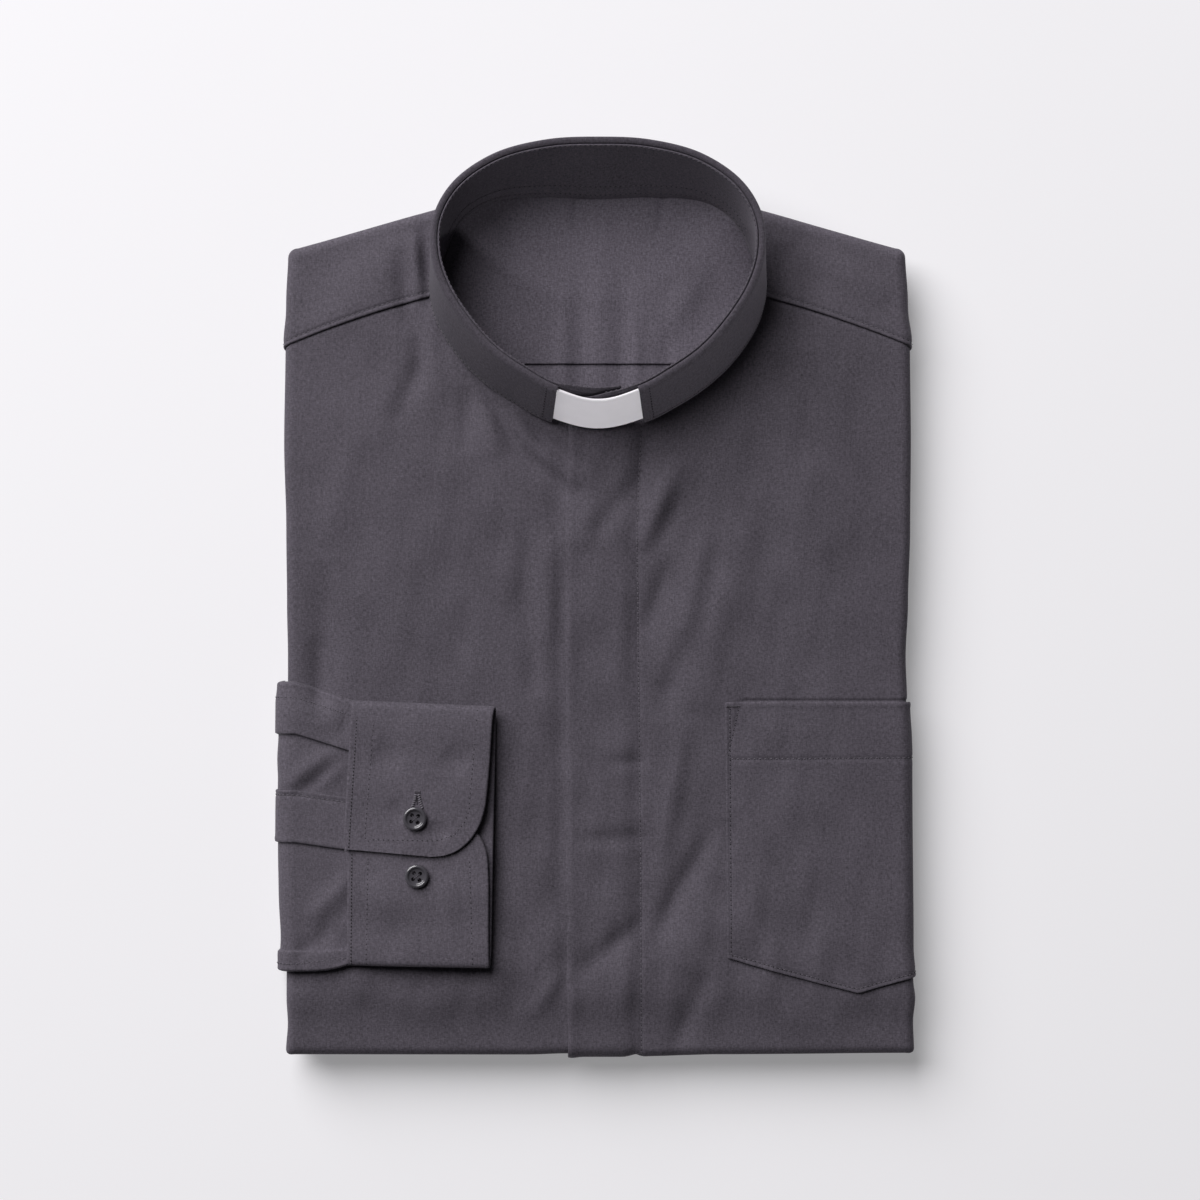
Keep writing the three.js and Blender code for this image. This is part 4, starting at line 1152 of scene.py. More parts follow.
@dataclass(frozen=True)
class Fronts:
    """The two fronts, and the fly that the left one ends in."""

    body: FoldedBody
    collar: Collar
    yoke_seam: YokeSeam
    # Y, and X of the fly's folded edge and of its row of stitches.
    fly_edge: Table = (
        (-200, -12.2), (-150, -12.6), (-60, -13.0), (0, -13.4), (40, -12.9), (76, -12.1), (100, -12.0),
    )
    fly_stitch: Table = (
        (-200, 18.3), (-120, 18.0), (-60, 17.4), (-8, 16.8), (27, 16.4), (42, 16.9), (74, 18.2), (100, 18.4),
    )
    fly_lift: float = 1.5
    fly_fall: float = 8.0
    pocket_top: float = -42.4
    neck_row: float = 5.6
    right_edge: float = -3.0
    wall: float = 0.75
    tuck: float = 1.6

    def stitch_x(self, y: Array) -> Array:
        """Where the fly's stitches run."""
        return read_table(self.fly_stitch, y, 1)

    def _top(self, x: Array) -> Array:
        """The top edge: under the collar, and then under the yoke's folded edge."""
        neck_x, neck_y = self.collar.neck_edge(0, self.neck_row, -1.0)
        away = np.abs(x)
        return np.where(away < neck_x[-1], np.interp(away, neck_x, neck_y), self.yoke_seam.at(x) + self.tuck)

    def lift(self, x: Array, y: Array) -> Array:
        """How high the left front lies along its fly."""
        stitch = self.stitch_x(y)
        step = self.fly_lift * (1 - ease(x - stitch, -self.fly_fall, 0.2))
        ripple = 0.06 * np.sin(y * 0.41 + 1.3 * np.sin(y * 0.057)) * hump(x - stitch + 2.5, 3.0)
        drawn_in = 0.2 * hump(x - stitch, 0.8)
        puff = 0.45 * hump(x - self.edge_x(y) - 1.6, 2.4)
        mouth = 0.5 * hump(y - self.pocket_top, 0.75) * ease(x, 59.0, 62.0)
        return step - drawn_in - mouth + np.where(x < stitch, ripple + puff, 0)

    def edge_x(self, y: Array) -> Array:
        """Where the fly's folded edge runs, a little wavy."""
        return read_table(self.fly_edge, y, 1) + 0.18 * np.sin(y * 0.13) + 0.1 * np.sin(y * 0.37 + 1)

    def _tucked(self, x: Array, y: Array) -> Array:
        """How far the top edge sinks under the yoke."""
        neck = self.collar.neck_edge(0, self.neck_row, -1.0)[0][-1]
        under = ease(y, self.yoke_seam.at(x) - 1.0, self.yoke_seam.at(x) + 0.6)
        return 0.9 * under * ease(np.abs(x), neck - 6, neck)

    def place_left(self, x: Array, y: Array) -> Array:
        """The left front's outer face."""
        return self.body.lay(x, y, self.lift(x, y) - self._tucked(x, y))

    def _panel(self, name: str, columns: Array, wavy: bool, lift: Place) -> bpy.types.Mesh:
        """One front, from its centre edge to the far side of the side fold.

        Args:
            name: The mesh's name.
            columns: Places across, from the centre edge.
            wavy: Whether its centre edge is the fly's.
            lift: Gives the height over the body at flat places.

        Returns:
            The mesh.
        """
        fold, level_to = self.body.fold_y, 66.0
        level = steps((fold - self.body.rolled, 0), (fold, 8), (-46.0, 92), (-39.5, 16), (level_to, 68))
        level = np.repeat(level[None, :], len(columns), axis=0)
        rest = steps((0.0, 0), (1.0, 38))[1:]
        y = np.concatenate([level, blend(level_to, self._top(columns)[:, None], rest)], axis=1)
        x = np.repeat(columns[:, None], y.shape[1], axis=1)
        if wavy:
            x = x + (self.edge_x(y) - columns[0]) * (1 - ease(x, columns[0], columns[0] + 14))
        return self.body.spread(name, x, y, lift(x, y) - self._tucked(x, y), self.wall)

    def right(self) -> bpy.types.Mesh:
        """The right front, under the fly."""
        side = self.body.fold_x
        columns = -steps((-self.right_edge, 0), (side - 3, 70), (side, 3), (side + self.body.rolled, 9))
        return self._panel("right_front_panel", columns, False, lambda x, y: 0 * x)

    def left(self) -> bpy.types.Mesh:
        """The left front, with its fly."""
        side = self.body.fold_x
        columns = steps(
            (-12.6, 0), (-10, 4), (13, 14), (21, 14), (side - 3, 60), (side, 3), (side + self.body.rolled, 9)
        )
        return self._panel("left_front_panel", columns, True, self.lift)

    def seams(self) -> list[Seam]:
        """The fly's row of stitches."""
        y = np.linspace(76.0, self.body.fold_y - 2, 90)
        corners = tuple(zip(self.stitch_x(y).tolist(), y.tolist()))
        return [sewn_along(self.place_left, 0.04, corners)]


@dataclass(frozen=True)
class Yoke:
    """The outer yoke: a flap over each shoulder with a folded edge, and the sheet behind the neck."""

    body: FoldedBody
    collar: Collar
    seam: YokeSeam
    lift: float = 0.85
    wall: float = 1.1
    overlap: float = -0.25

    @staticmethod
    def row(x: Array) -> Array:
        """How far above the folded edge the stitches run."""
        return blend(1.4, 1.8, ease(np.abs(x), 128, 72))

    def rise(self, x: Array, y: Array) -> Array:
        """The flap's height over the body: full at its folded edge, drawn down by its stitches."""
        past = y - self.seam.at(x) + self.overlap
        puff = 0.06 * hump(past - 0.5, 0.6)
        return self.lift + puff - 0.26 * hump(past - self.row(x), 0.7) - 0.5 * ease(past, 3, 14)

    def place(self, x: Array, y: Array) -> Array:
        """The flap's outer face."""
        return self.body.lay(x, y, self.rise(x, y))

    def flap(self, side: int) -> bpy.types.Mesh:
        """The flap over one shoulder, rolled over the shoulder fold.

        Args:
            side: 1 for the wearer's left, or -1.

        Returns:
            The mesh.
        """
        back_x, back_y = self.collar.neck_edge(6.4, 8.2, -1.0)
        neck = self.collar.neck_edge(0, Fronts.neck_row, -1.0)[0][-1]
        fold = self.body.fold_x
        columns = steps(
            (60.0, 0), (neck - 0.2, 8), (neck + 0.2, 1), (fold - 3, 40), (fold, 3), (fold + self.body.rolled, 9)
        )
        low = np.where(columns < neck, np.interp(columns, back_x, back_y), self.seam.at(columns) - self.overlap)
        high = self.body.shoulder_fold(np.minimum(columns, fold))
        share = steps((0, 0), (0.12, 12), (1, 26))
        over = np.linspace(0, self.body.rolled, 10)[1:]
        y = np.concatenate([blend(low[:, None], high[:, None], share), high[:, None] + over], axis=1)
        x = side * np.repeat(columns[:, None], y.shape[1], axis=1)
        return self.body.spread("yoke_flap", x, y, self.rise(x, y), self.wall)

    def seams(self) -> list[Seam]:
        """A row of stitches above each flap's folded edge."""
        rows = []
        for side in (1, -1):
            x = np.linspace(72.5, self.body.half_width + 1.5, 40)
            y = self.seam.at(x) - self.overlap + self.row(x)
            corners = tuple(zip((side * x).tolist(), y.tolist()))
            rows.append(sewn_along(self.place, 0.03, corners, pitch=2.2))
        return rows


@dataclass(frozen=True)
class InsideNeck:
    """What shows inside the collar: the inner yoke, and below its seam the back, inside out."""

    body: FoldedBody
    collar: Collar
    seam_y: float = 100.3
    yoke_level: float = 13.5
    under_level: float = 12.05
    back_level: float = 12.5
    yoke_half: float = 78.0
    under_half: float = 79.0
    back_half: float = 76.0
    low: float = 58.0
    # Y from and to which the collar draws the sheets up.
    drawn: tuple[float, float] = (118.0, 162.0)
    folds: tuple[Crease, ...] = (
        Crease(((-14.5, 132.0), (-14.6, 60.0)), 3.4, 1.0),
        Crease(((1.5, 174.0), (0.6, 60.0)), 5.4, 0.8),
        Crease(((10.5, 140.0), (9.0, 60.0)), 4.0, -0.6),
        Crease(((-7.5, 140.0), (-7.0, 60.0)), 3.4, -0.7),
        Crease(((-9.0, 177.0), (-10.0, 154.0)), 1.8, -1.2),
        Crease(((28.0, 177.0), (26.0, 152.0)), 1.8, -1.2),
        Crease(((-44.0, 168.0), (-30.0, 140.0)), 3.4, -0.8),
        Crease(((16.5, 128.0), (15.0, 60.0)), 3.0, 0.9),
        Crease(((29.0, 124.0), (27.0, 60.0)), 3.6, -0.8),
        Crease(((52.0, 150.0), (22.0, 104.0)), 5.0, 0.8),
        Crease(((40.0, 164.0), (36.0, 112.0)), 6.0, 0.7),
    )

    def behind(self, x: Array) -> Array:
        """The top edge of what lies behind the neck."""
        neck_x, neck_y = self.collar.neck_edge(7.9, 14.1, 1.2)
        neck = np.interp(x, neck_x, neck_y)
        fold = self.body.shoulder_fold(x) + 1.8
        return np.where(np.abs(x) < 57.5, np.minimum(neck, fold), fold)

    def _drawn_up(self, out: Array) -> Array:
        """How far the band draws the sheets up at their back edge, by the distance from the middle."""
        return (0.5 * ease(out, 20, 34) + 5.0 * ease(out, 36, 60)) * ease(out, 74, 63)

    def _sheet(
        self, name: str, half: float, count: int, ends: tuple[Edge, Edge], level: float, wall: float
    ) -> bpy.types.Mesh:
        """A nearly flat sheet inside the neck.

        Args:
            name: The mesh's name.
            half: Half of its width.
            count: Number of columns.
            ends: Give Y of its front and back edges from X.
            level: Height of its upper face where nothing lifts it.
            wall: Its thickness.

        Returns:
            The mesh.
        """
        columns = np.linspace(-half, half, count)
        share = steps((0, 0), (0.04, 6), (1, 40))
        front, back = (end(columns)[:, None] for end in ends)
        y = blend(front, back, share)
        x = np.repeat(columns[:, None], len(share), axis=1)
        z = level + rise_of(self.folds, x, y) * ease(np.abs(x), half, half - 20)
        z = z + self._drawn_up(np.abs(x)) * ease(y, *self.drawn)
        points = [np.stack([x, y, z - depth], axis=-1) for depth in (0, wall)]
        return ClothMesh.wall(name, *points, np.stack([x, y], axis=-1))

    def inner_yoke(self) -> bpy.types.Mesh:
        """The inner yoke, with the soft folds that run down it."""
        ends = (lambda x: 0 * x + self.seam_y - 0.4, lambda x: self.behind(x) - 0.8)
        return self._sheet("inner_yoke", self.yoke_half, 130, ends, self.yoke_level, 0.8)

    def under_yoke(self) -> bpy.types.Mesh:
        """The outer yoke's sheet behind the neck."""
        ends = (lambda x: 0 * x + self.seam_y, self.behind)
        return self._sheet("under_yoke", self.under_half, 130, ends, self.under_level, 0.7)

    def back(self) -> bpy.types.Mesh:
        """The top of the back, sewn in between the yokes."""
        ends = (lambda x: 0 * x + self.low, lambda x: 0 * x + self.seam_y - 0.5)
        return self._sheet("back_panel", self.back_half, 90, ends, self.back_level, 0.8)


@dataclass(frozen=True)
class Cuff:
    """The right cuff, buttoned: one strip round a flat loop, from its underlap's end to its flap's end."""

    body: FoldedBody
    # The strip's section: Y, height over the base, how far its hem draws back, and Y gained toward the sleeve.
    path: Table = (
        (-96, 3.9, 9, 0), (-98.6, 3.9, 5.8, 0), (-105, 3.9, 2.8, 0), (-116, 3.8, 1.6, 0), (-134, 3.7, 1.2, 0),
        (-149, 3.6, 0.8, 0.6), (-152.6, 3.3, 0.6, 0.8), (-153.3, 2.3, 0.4, 0.8), (-152.4, 1.4, 0.2, 0.8),
        (-149, 1.2, 0, 0.6), (-116, 1.2, 0, 0.6), (-82, 1.2, 0, 1.4), (-50, 1.2, 0, 2.2), (-46.2, 1.6, 0, 2.3),
        (-45.1, 3.4, 0.3, 2.4), (-46.4, 5.1, 0.8, 2.3), (-50.5, 5.7, 1.3, 2.2), (-66, 5.9, 2, 1.8),
        (-80, 5.9, 2.9, 1.8), (-88, 5.8, 3.9, 2), (-95, 5.75, 6.2, 2.3), (-100.6, 5.7, 9.9, 2.6),
        (-104.4, 5.7, 14.3, 2.8), (-106.6, 5.7, 19.6, 2.95), (-107.2, 5.7, 25.6, 3),
    )
    seam_table: Table = ((-160, -104.6), (-112, -104.2), (-103, -105.9), (-44, -102.4))
    hem: float = -43.3
    hem_slant: float = 0.02
    top: float = -44.4
    wall: float = 1.3
    stand_out: float = 2.4
    stand_low: float = 1.6
    middle_x: float = -85.0
    underlap: tuple[int, int] = (0, 6)
    flap: tuple[int, int] = (15, 25)
    flap_row: Table = (
        (-93.4, -45.5), (-97.6, -100.2), (-67.4, -100.6), (-60.4, -98.2), (-56.0, -93.4), (-54.0, -88.6),
        (-50.4, -47.2),
    )
    under_row: Table = ((-53.6, -108.5), (-52.4, -151.0))
    under_left: Table = ((-96.2, -107.5), (-97.0, -151.5))
    seam_row: Table = ((-100.6, -45.5), (-104.2, -102.6))
    seam_row_low: Table = ((-103.0, -106.0), (-103.4, -151.8))
    dents: tuple[Crease, ...] = (
        Crease(((-96.0, -60.0), (-84.0, -66.4)), 7.0, -0.8, 0.3),
        Crease(((-66.0, -62.0), (-56.0, -68.6)), 5.0, -1.04, 0.3),
        Crease(((-86.5, -84.0), (-81.5, -93.0)), 3.2, -0.8),
        Crease(((-70.0, -93.5), (-62.5, -99.0)), 3.0, -1.17),
        Crease(((-94.0, -116.0), (-84.0, -138.0)), 6.0, 1.17),
        Crease(((-88.0, -128.0), (-86.0, -150.0)), 6.0, -0.78),
        Crease(((-64.0, -114.0), (-60.0, -144.0)), 5.0, 0.91),
        Crease(((-82.0, -106.5), (-70.0, -111.0)), 5.0, -0.5),
        Crease(((-84.0, -50.0), (-70.0, -78.0)), 7.0, 0.78),
    )

    def base(self, x: Array, y: Array) -> Array:
        """The height that the strip lies over: it stands away from the front toward its hem and its bottom fold."""
        stand = self.stand_out * ease(x, -108, -44) + self.stand_low * ease(-y, 40, 155) * ease(x, -106, -80)
        return self.body.skin(self.middle_x + 0 * y, y) + stand

    def seam_x(self, y: Array | float) -> Array:
        """Where the cuff is sewn to the sleeve."""
        return read_table(self.seam_table, y, 1, False)

    def mesh(self) -> bpy.types.Mesh:
        """The cuff's strip, its edges turned in and its rows of stitches drawn down."""
        rows = np.array(self.path, float)
        counts = [10 if abs(reach) > 6 else 5 for reach in np.diff(rows[:, 0])]
        at = [row + np.linspace(0, 1, count)[:-1] for row, count in enumerate(counts)]
        at = np.append(np.concatenate(at), len(rows) - 1.0)
        line = curve_through(rows, at, False)
        run = unit(np.gradient(line[:, :2], axis=0))
        across = steps((0, 0), (0.05, 5), (0.16, 8), (0.84, 40), (0.95, 8), (1, 5))
        y0, lift, hem_in, rise = (line[:, k][:, None] for k in range(4))
        hem = self.hem + self.hem_slant * (y0 - self.top) - hem_in
        x = blend(self.seam_x(y0), hem, across[None, :])
        sheets = []
        on_top = ease(at, self.flap[0] - 0.5, self.flap[0] + 0.5)[:, None]
        below = 1 - ease(at, self.underlap[1] - 1.0, self.underlap[1])[:, None]
        for off in (self.wall / 2, -self.wall / 2):
            y = y0 + rise * (1 - across) - off * run[:, 1][:, None]
            up = lift + off * run[:, 0][:, None]
            sewn = on_top * (dip(x, y, self.flap_row) + dip(x, y, self.seam_row, 0.9, 0.5))
            low = (self.under_row, self.under_left, self.seam_row_low)
            sewn = sewn + below * sum(dip(x, y, row) for row in low)
            up = up + (on_top + below) * rise_of(self.dents, x, y) - sewn * (off > 0)
            sheets.append(np.stack([x, y, self.base(x, y) + up], axis=-1))
        uv = np.stack([x, length_along(line[:, :2])[:, None] + 0 * x], axis=-1)
        return ClothMesh.wall("cuff", *sheets, uv)

    def _face(self, first: int, last: int) -> Place:
        """The upper face of one layer, between two rows of the path."""
        rows = np.array(self.path, float)[first:last]
        order = np.argsort(rows[:, 0])

        def place(x: Array, y: Array) -> Array:
            """Its points at flat places."""
            x, y = np.broadcast_arrays(np.asarray(x, float), np.asarray(y, float))
            lift = np.interp(y, rows[order, 0], rows[order, 1]) + self.wall / 2
            z = self.base(x, y) + lift + rise_of(self.dents, x, y)
            return np.stack([x, y, z], axis=-1)

        return place

    def seams(self) -> list[Seam]:
        """The rows round the flap, down the underlap and along the sleeve, and the buttonhole."""
        flap, under = self._face(*self.flap), self._face(*self.underlap)
        down = -0.06
        plain = {"pitch": 2.03, "length": 1.0, "width": 0.34, "hole": 0.52}
        tight = {"pitch": 1.4, "length": 0.7, "width": 0.36, "hole": 0.62}
        lips = {"pitch": 0.84, "length": 0.95, "width": 1.6, "height": 0.7, "hole": 0.16}
        bar = {"pitch": 0.5, "length": 0.5, "width": 1.7, "height": 0.6, "hole": 0.02}
        # The buttonhole's slit is a row of near-black beads: painted shade of its opening.
        slit = {"pitch": 0.3, "length": 0.05, "width": 0.05, "hole": 0.5}
        return [
            sewn_along(flap, down, self.flap_row, **plain),
            sewn_along(under, down, self.under_row, **plain),
            sewn_along(under, down, self.under_left, **plain),
            sewn_along(flap, 0.0, self.seam_row, **tight),
            sewn_along(under, 0.0, self.seam_row_low, **tight),
            sewn_along(flap, 0.15, ((-76.2, -81.5), (-76.8, -84.2), (-77.8, -86.8)), 0.4, **lips),
            sewn_along(flap, 0.15, ((-74.9, -81.5), (-74.4, -84.2), (-73.5, -86.8)), 0.4, **lips),
            sewn_along(flap, 0.15, ((-76.5, -80.1), (-74.4, -80.1)), 0.3, **bar),
            sewn_along(flap, 0.02, ((-75.6, -81.8), (-75.6, -85.2)), 0.3, **slit),
        ]


@dataclass(frozen=True)
class Sleeve:
    """The right sleeve, pressed flat, from the cuff round the body's edge, with the strip at its vent."""

    body: FoldedBody
    cuff: Cuff
    # The section's corners, over the upper face: Y on the folded edge, Y at the cuff, and height.
    lines: Table = (
        (-34.2, -42.2, 2.2), (-35.6, -43.6, 4.6), (-44, -52, 5.3), (-55.8, -63, 5.4), (-56.7, -63.9, 4.0),
        (-67, -73.5, 4.5), (-79, -84, 4), (-92, -95.5, 4.1), (-105, -108, 4.1), (-118, -120, 3.9),
        (-133, -133, 4.2), (-146.8, -145.8, 3.8), (-147.8, -146.8, 4.7), (-154.6, -151.8, 4.2), (-155.9, -153, 2.2),
    )
    middle: float = 2.2
    under: float = 0.4
    edge_low: float = 2.4
    wall: float = 0.7
    strip_edges: tuple[float, float, float, float] = (-80.2, -83.2, -101.2, -104.2)
    folds: tuple[Crease, ...] = (
        Crease(((-107.0, -60.0), (-121.0, -68.0), (-136.0, -80.0)), 3.4, 1.27, 0.3),
        Crease(((-102.5, -62.5), (-118.5, -77.5)), 3.0, 1.07, 0.3),
        Crease(((-103.0, -64.0), (-129.0, -82.0)), 2.6, -0.97, 0.3),
        Crease(((-102.0, -112.0), (-124.0, -134.5)), 3.6, 1.17, 0.3),
        Crease(((-110.0, -136.0), (-130.0, -150.0)), 3.8, -1.07, 0.3),
        Crease(((-102.0, -124.0), (-119.0, -140.0)), 4.0, -0.88, 0.3),
        Crease(((-106.0, -51.0), (-134.0, -47.0)), 5.0, 0.68),
        Crease(((-104.0, -46.0), (-108.0, -58.0)), 2.4, -0.49),
        Crease(((-146.0, -138.0), (-98.0, -141.0)), 13.0, -1.65),
    )
    step: float = 1.2
    strip_steps: int = 42
    strip_width: float = 21.0

    def _way(self, spacing: float = 1.2) -> tuple[Array, Array, Array]:
        """The sleeve's way: along the front, the turn over the edge and the fall behind it."""
        flat, turned, fallen = int(30 / spacing), int(12 / spacing), int(16 / spacing)
        full = self.body.edge_height - self.body.roll - self.edge_low
        along = steps((0, 0), (1, flat), (1, turned), (1, fallen))
        turn = steps((0, 0), (0, flat), (math.pi / 2, turned), (math.pi / 2, fallen))
        down = steps((0, 0), (0, flat), (0, turned), (full, fallen))
        return along[:, None], turn[:, None], down[:, None]

    def _around(self) -> Array:
        """The sleeve's flat section: each point's Y on the folded edge, Y at the cuff and height."""
        rows = np.array(self.lines)
        parts = []
        for k, (a, b) in enumerate(zip(rows, rows[1:])):
            share = np.linspace(0, 1, 11)[:-1, None]
            ends = share * share * (3 - 2 * share)
            if k == 0:
                share, ends = 1 - np.cos(share * math.pi / 2), np.sin(share * math.pi / 2)
            elif k == len(rows) - 2:
                share, ends = np.sin(share * math.pi / 2), 1 - np.cos(share * math.pi / 2)
            parts.append(np.concatenate([blend(a[:2], b[:2], share), blend(a[2], b[2], ends)], axis=1))
        parts.append(rows[-1:])
        low = np.linspace(0, 1, 26)[1:-1, None]
        back = blend(rows[-2, :2], rows[1, :2], low)
        parts.append(np.concatenate([back, np.full((len(back), 1), self.under)], axis=1))
        return np.concatenate(parts)

    def lay(self, way: tuple[Array, Array, Array], y: Array, lift: Array) -> Array:
        """A point on the sleeve's way.

        Args:
            way: Along the front, the turn over the edge and the fall behind it.
            y: Place along the garment.
            lift: Height over the fronts.

        Returns:
            The point.
        """
        along, turn, down = way
        edge = self.body.wander(-self.body.fold_x + 0 * y, y)[0]
        seam = self.cuff.seam_x(y) - 0.15
        base = self.body.skin(blend(-101.6, -self.body.fold_x, along) + 0 * y, y) - self.body.roll
        flat_x = blend(seam, edge, along)
        reach = self.body.roll + lift
        soft = rise_of(self.folds, flat_x - reach * np.sin(turn), y) * (lift > self.middle)
        reach = reach + soft
        return np.stack([flat_x - reach * np.sin(turn), y + 0 * reach, base + reach * np.cos(turn) - down], axis=-1)

    def _tuck(self, down: Array) -> Array:
        """How far the sleeve closes up where it is tucked in behind the body."""
        full = self.body.edge_height - self.body.roll - self.edge_low
        return 0.4 * ease(down, 0.5 * full, full)

    def mesh(self) -> bpy.types.Mesh:
        """The pressed sleeve, a flat tube with its pleats."""
        way, section = self._way(), self._around()
        drawn = ease(-section[:, 1], 144, 150)
        along = way[0] + ((1 - (1 - way[0]) ** 3) - way[0]) * drawn
        y = blend(section[:, 1], section[:, 0], along)
        lift = section[:, 2] + 0 * y
        lift = lift - np.sign(lift - self.middle) * self._tuck(way[2])
        ends = y.max(axis=1, keepdims=True) - 0.8, y.min(axis=1, keepdims=True) + 0.8
        inner_lift = self.middle + (lift - self.middle) * (1 - self.wall / 2.4)
        outer = self.lay(way, y, lift)
        inner = self.lay(way, np.clip(y, ends[1], ends[0]), inner_lift)
        x = -np.arange(len(way[0]))[:, None] * self.step + 0 * y
        wrap = np.where(lift < self.middle, 2 * y.min() - y, y)
        return ClothMesh.wall("sleeve", outer, inner, np.stack([x, wrap], axis=-1), tube=True)

    def _top(self, way: tuple[Array, Array, Array], y: Array) -> Array:
        """Height of the sleeve's upper face at places on its way."""
        rows = self._around()[: 10 * (len(self.lines) - 1) + 1][::-1]
        along = np.broadcast_to(way[0], y.shape)
        lift = [np.interp(v, blend(rows[:, 1], rows[:, 0], a), rows[:, 2]) for v, a in zip(y.ravel(), along.ravel())]
        return np.array(lift).reshape(y.shape) - self._tuck(way[2])

    def _strip_y(self, along: Array, share: Array) -> Array:
        """Y of the vent's strip, from its upper edge to its lower one."""
        upper_edge, upper_cuff, lower_edge, lower_cuff = self.strip_edges
        return blend(blend(upper_cuff, upper_edge, along), blend(lower_cuff, lower_edge, along), share)

    def strip(self) -> bpy.types.Mesh:
        """The strip that finishes the vent, sewn on over the sleeve."""
        way = tuple(part[:self.strip_steps] for part in self._way())
        share = steps((0, 0), (0.14, 8), (0.9, 16), (1, 6))[None, :]
        y = self._strip_y(way[0], share)
        sewn = 0.28 * hump((share - 0.075) * self.strip_width, 0.8) - 0.2 * hump((share - 0.96) * self.strip_width, 1.0)
        top = self._top(way, y) + 0.35
        outer, inner = self.lay(way, y, top + 0.85 - sewn), self.lay(way, y, top)
        x = -np.arange(self.strip_steps)[:, None] * self.step + 0 * y
        return ClothMesh.wall("vent_strip", outer, inner, np.stack([x, y], axis=-1))

    def _row(self, edges: tuple[float, float], lift: float, reach: int = 36, **sizes: float) -> Seam:
        """Stitches across the sleeve, between a Y at the cuff and one on the folded edge."""
        way = tuple(part[:reach] for part in self._way())
        y = blend(edges[0], edges[1], way[0])
        height = self._top(way, y) + lift
        points = self.lay(way, y, height)
        lie = self.lay(way, y, height + 1) - points
        return Seam(points[:, 0], lie[:, 0], **sizes)

    def seams(self) -> list[Seam]:
        """The sleeve's own seam, the rows of the strip and the row above the bottom fold."""
        strip = self.strip_edges
        return [
            self._row((-48.6, -40.9), 0.05, length=1.0, width=0.34),
            self._row((strip[1] - 1.6, strip[0] - 1.6), 1.0, pitch=2.1),
            self._row((-149.9, -152.6), 0.05, pitch=2.1, length=1.0),
        ]


@dataclass(frozen=True)
class Pocket:
    """The breast pocket: pointed at the bottom, hemmed at the top and carried over the folded side."""

    body: FoldedBody
    inner: float = 53.8
    top: float = -43.3
    corner: float = -150.0
    tip: float = -165.0
    tip_x: float = 107.9
    hem: float = -66.7
    wall: float = 0.8
    gap: float = 0.4
    reach: float = 8.0
    puckers: tuple[Crease, ...] = (
        Crease(((55.0, -110.0), (60.5, -111.5)), 1.6, -0.35),
        Crease(((57.0, -44.0), (64.0, -43.6)), 1.4, -0.3),
    )

    def _low(self, x: Array) -> Array:
        """The bottom edge."""
        slope = (self.corner - self.tip) / (self.tip_x - self.inner)
        return self.tip + slope * np.abs(x - self.tip_x)

    def _rows(self) -> tuple[Table, ...]:
        """The rows of stitches: the hem, the edges and the reinforced corner."""
        side = self.body.fold_x + self.reach
        low = self._low(np.array([self.inner + 1.4, self.tip_x, side])) + 1.5
        edge = ((55.3, self.top - 1.5), (55.5, -70.0), (55.9, low[0]), (self.tip_x, low[1]), (side, low[2]))
        hem = ((self.inner + 2.6, self.hem), (side, self.hem + 0.4))
        corner = ((59.0, self.top - 2.0), (54.9, -64.2))
        return hem, edge, corner

    def rise(self, x: Array, y: Array) -> Array:
        """The pocket's height over the front: a thicker hem, full between its stitches."""
        low = self._low(x)
        inside = np.minimum(np.minimum(x - self.inner, y - low), self.top - y)
        full = 0.35 * ease(inside, 1.5, 14)
        hem = 0.12 * ease(y, self.hem - 0.6, self.hem + 0.6) + 0.2 * hump(y - self.top + 0.9, 0.8)
        ridge = 0.05 * hump(y - self.hem + 2.4, 1.1)
        sewn = sum(dip(x, y, row, 0.85, 0.24) for row in self._rows())
        return self.gap + self.wall + full + hem + ridge - sewn + rise_of(self.puckers, x, y)

    def place(self, x: Array, y: Array) -> Array:
        """The pocket's outer face."""
        return self.body.lay(x, y, self.rise(x, y))

    def mesh(self) -> bpy.types.Mesh:
        """The pocket's sheet."""
        fold = self.body.fold_x
        columns = steps((self.inner, 0), (58, 8), (fold - 2, 56), (fold, 3), (fold + self.reach, 9))
        share = steps((0, 0), (0.03, 5), (0.76, 74), (0.82, 12), (0.97, 14), (1, 5))
        lead = 0.9
        y = blend(self._low(columns)[:, None], self.top, share)
        x = np.repeat(columns[:, None], len(share), axis=1)
        x = x + lead * blend(1.0, 0.0, share) * (1 - ease(x, self.inner, self.inner + 12))
        return self.body.spread("breast_pocket", x, y, self.rise(x, y), self.wall)

    def seams(self) -> list[Seam]:
        """The pocket's stitches."""
        hem, edge, corner = self._rows()
        tack = ((54.0, self.top - 1.3), (59.2, self.top - 1.3))
        return [
            sewn_along(self.place, 0.05, hem, pitch=2.3, length=1.2, width=0.4, hole=0.4),
            sewn_along(self.place, 0.07, edge, pitch=1.95, length=0.95, width=0.34, hole=0.5),
            sewn_along(self.place, 0.07, corner, pitch=1.95, length=0.9, width=0.3, hole=0.5),
            sewn_along(self.place, 0.1, tack, 0.5, pitch=0.5, length=0.6, width=0.5),
        ]


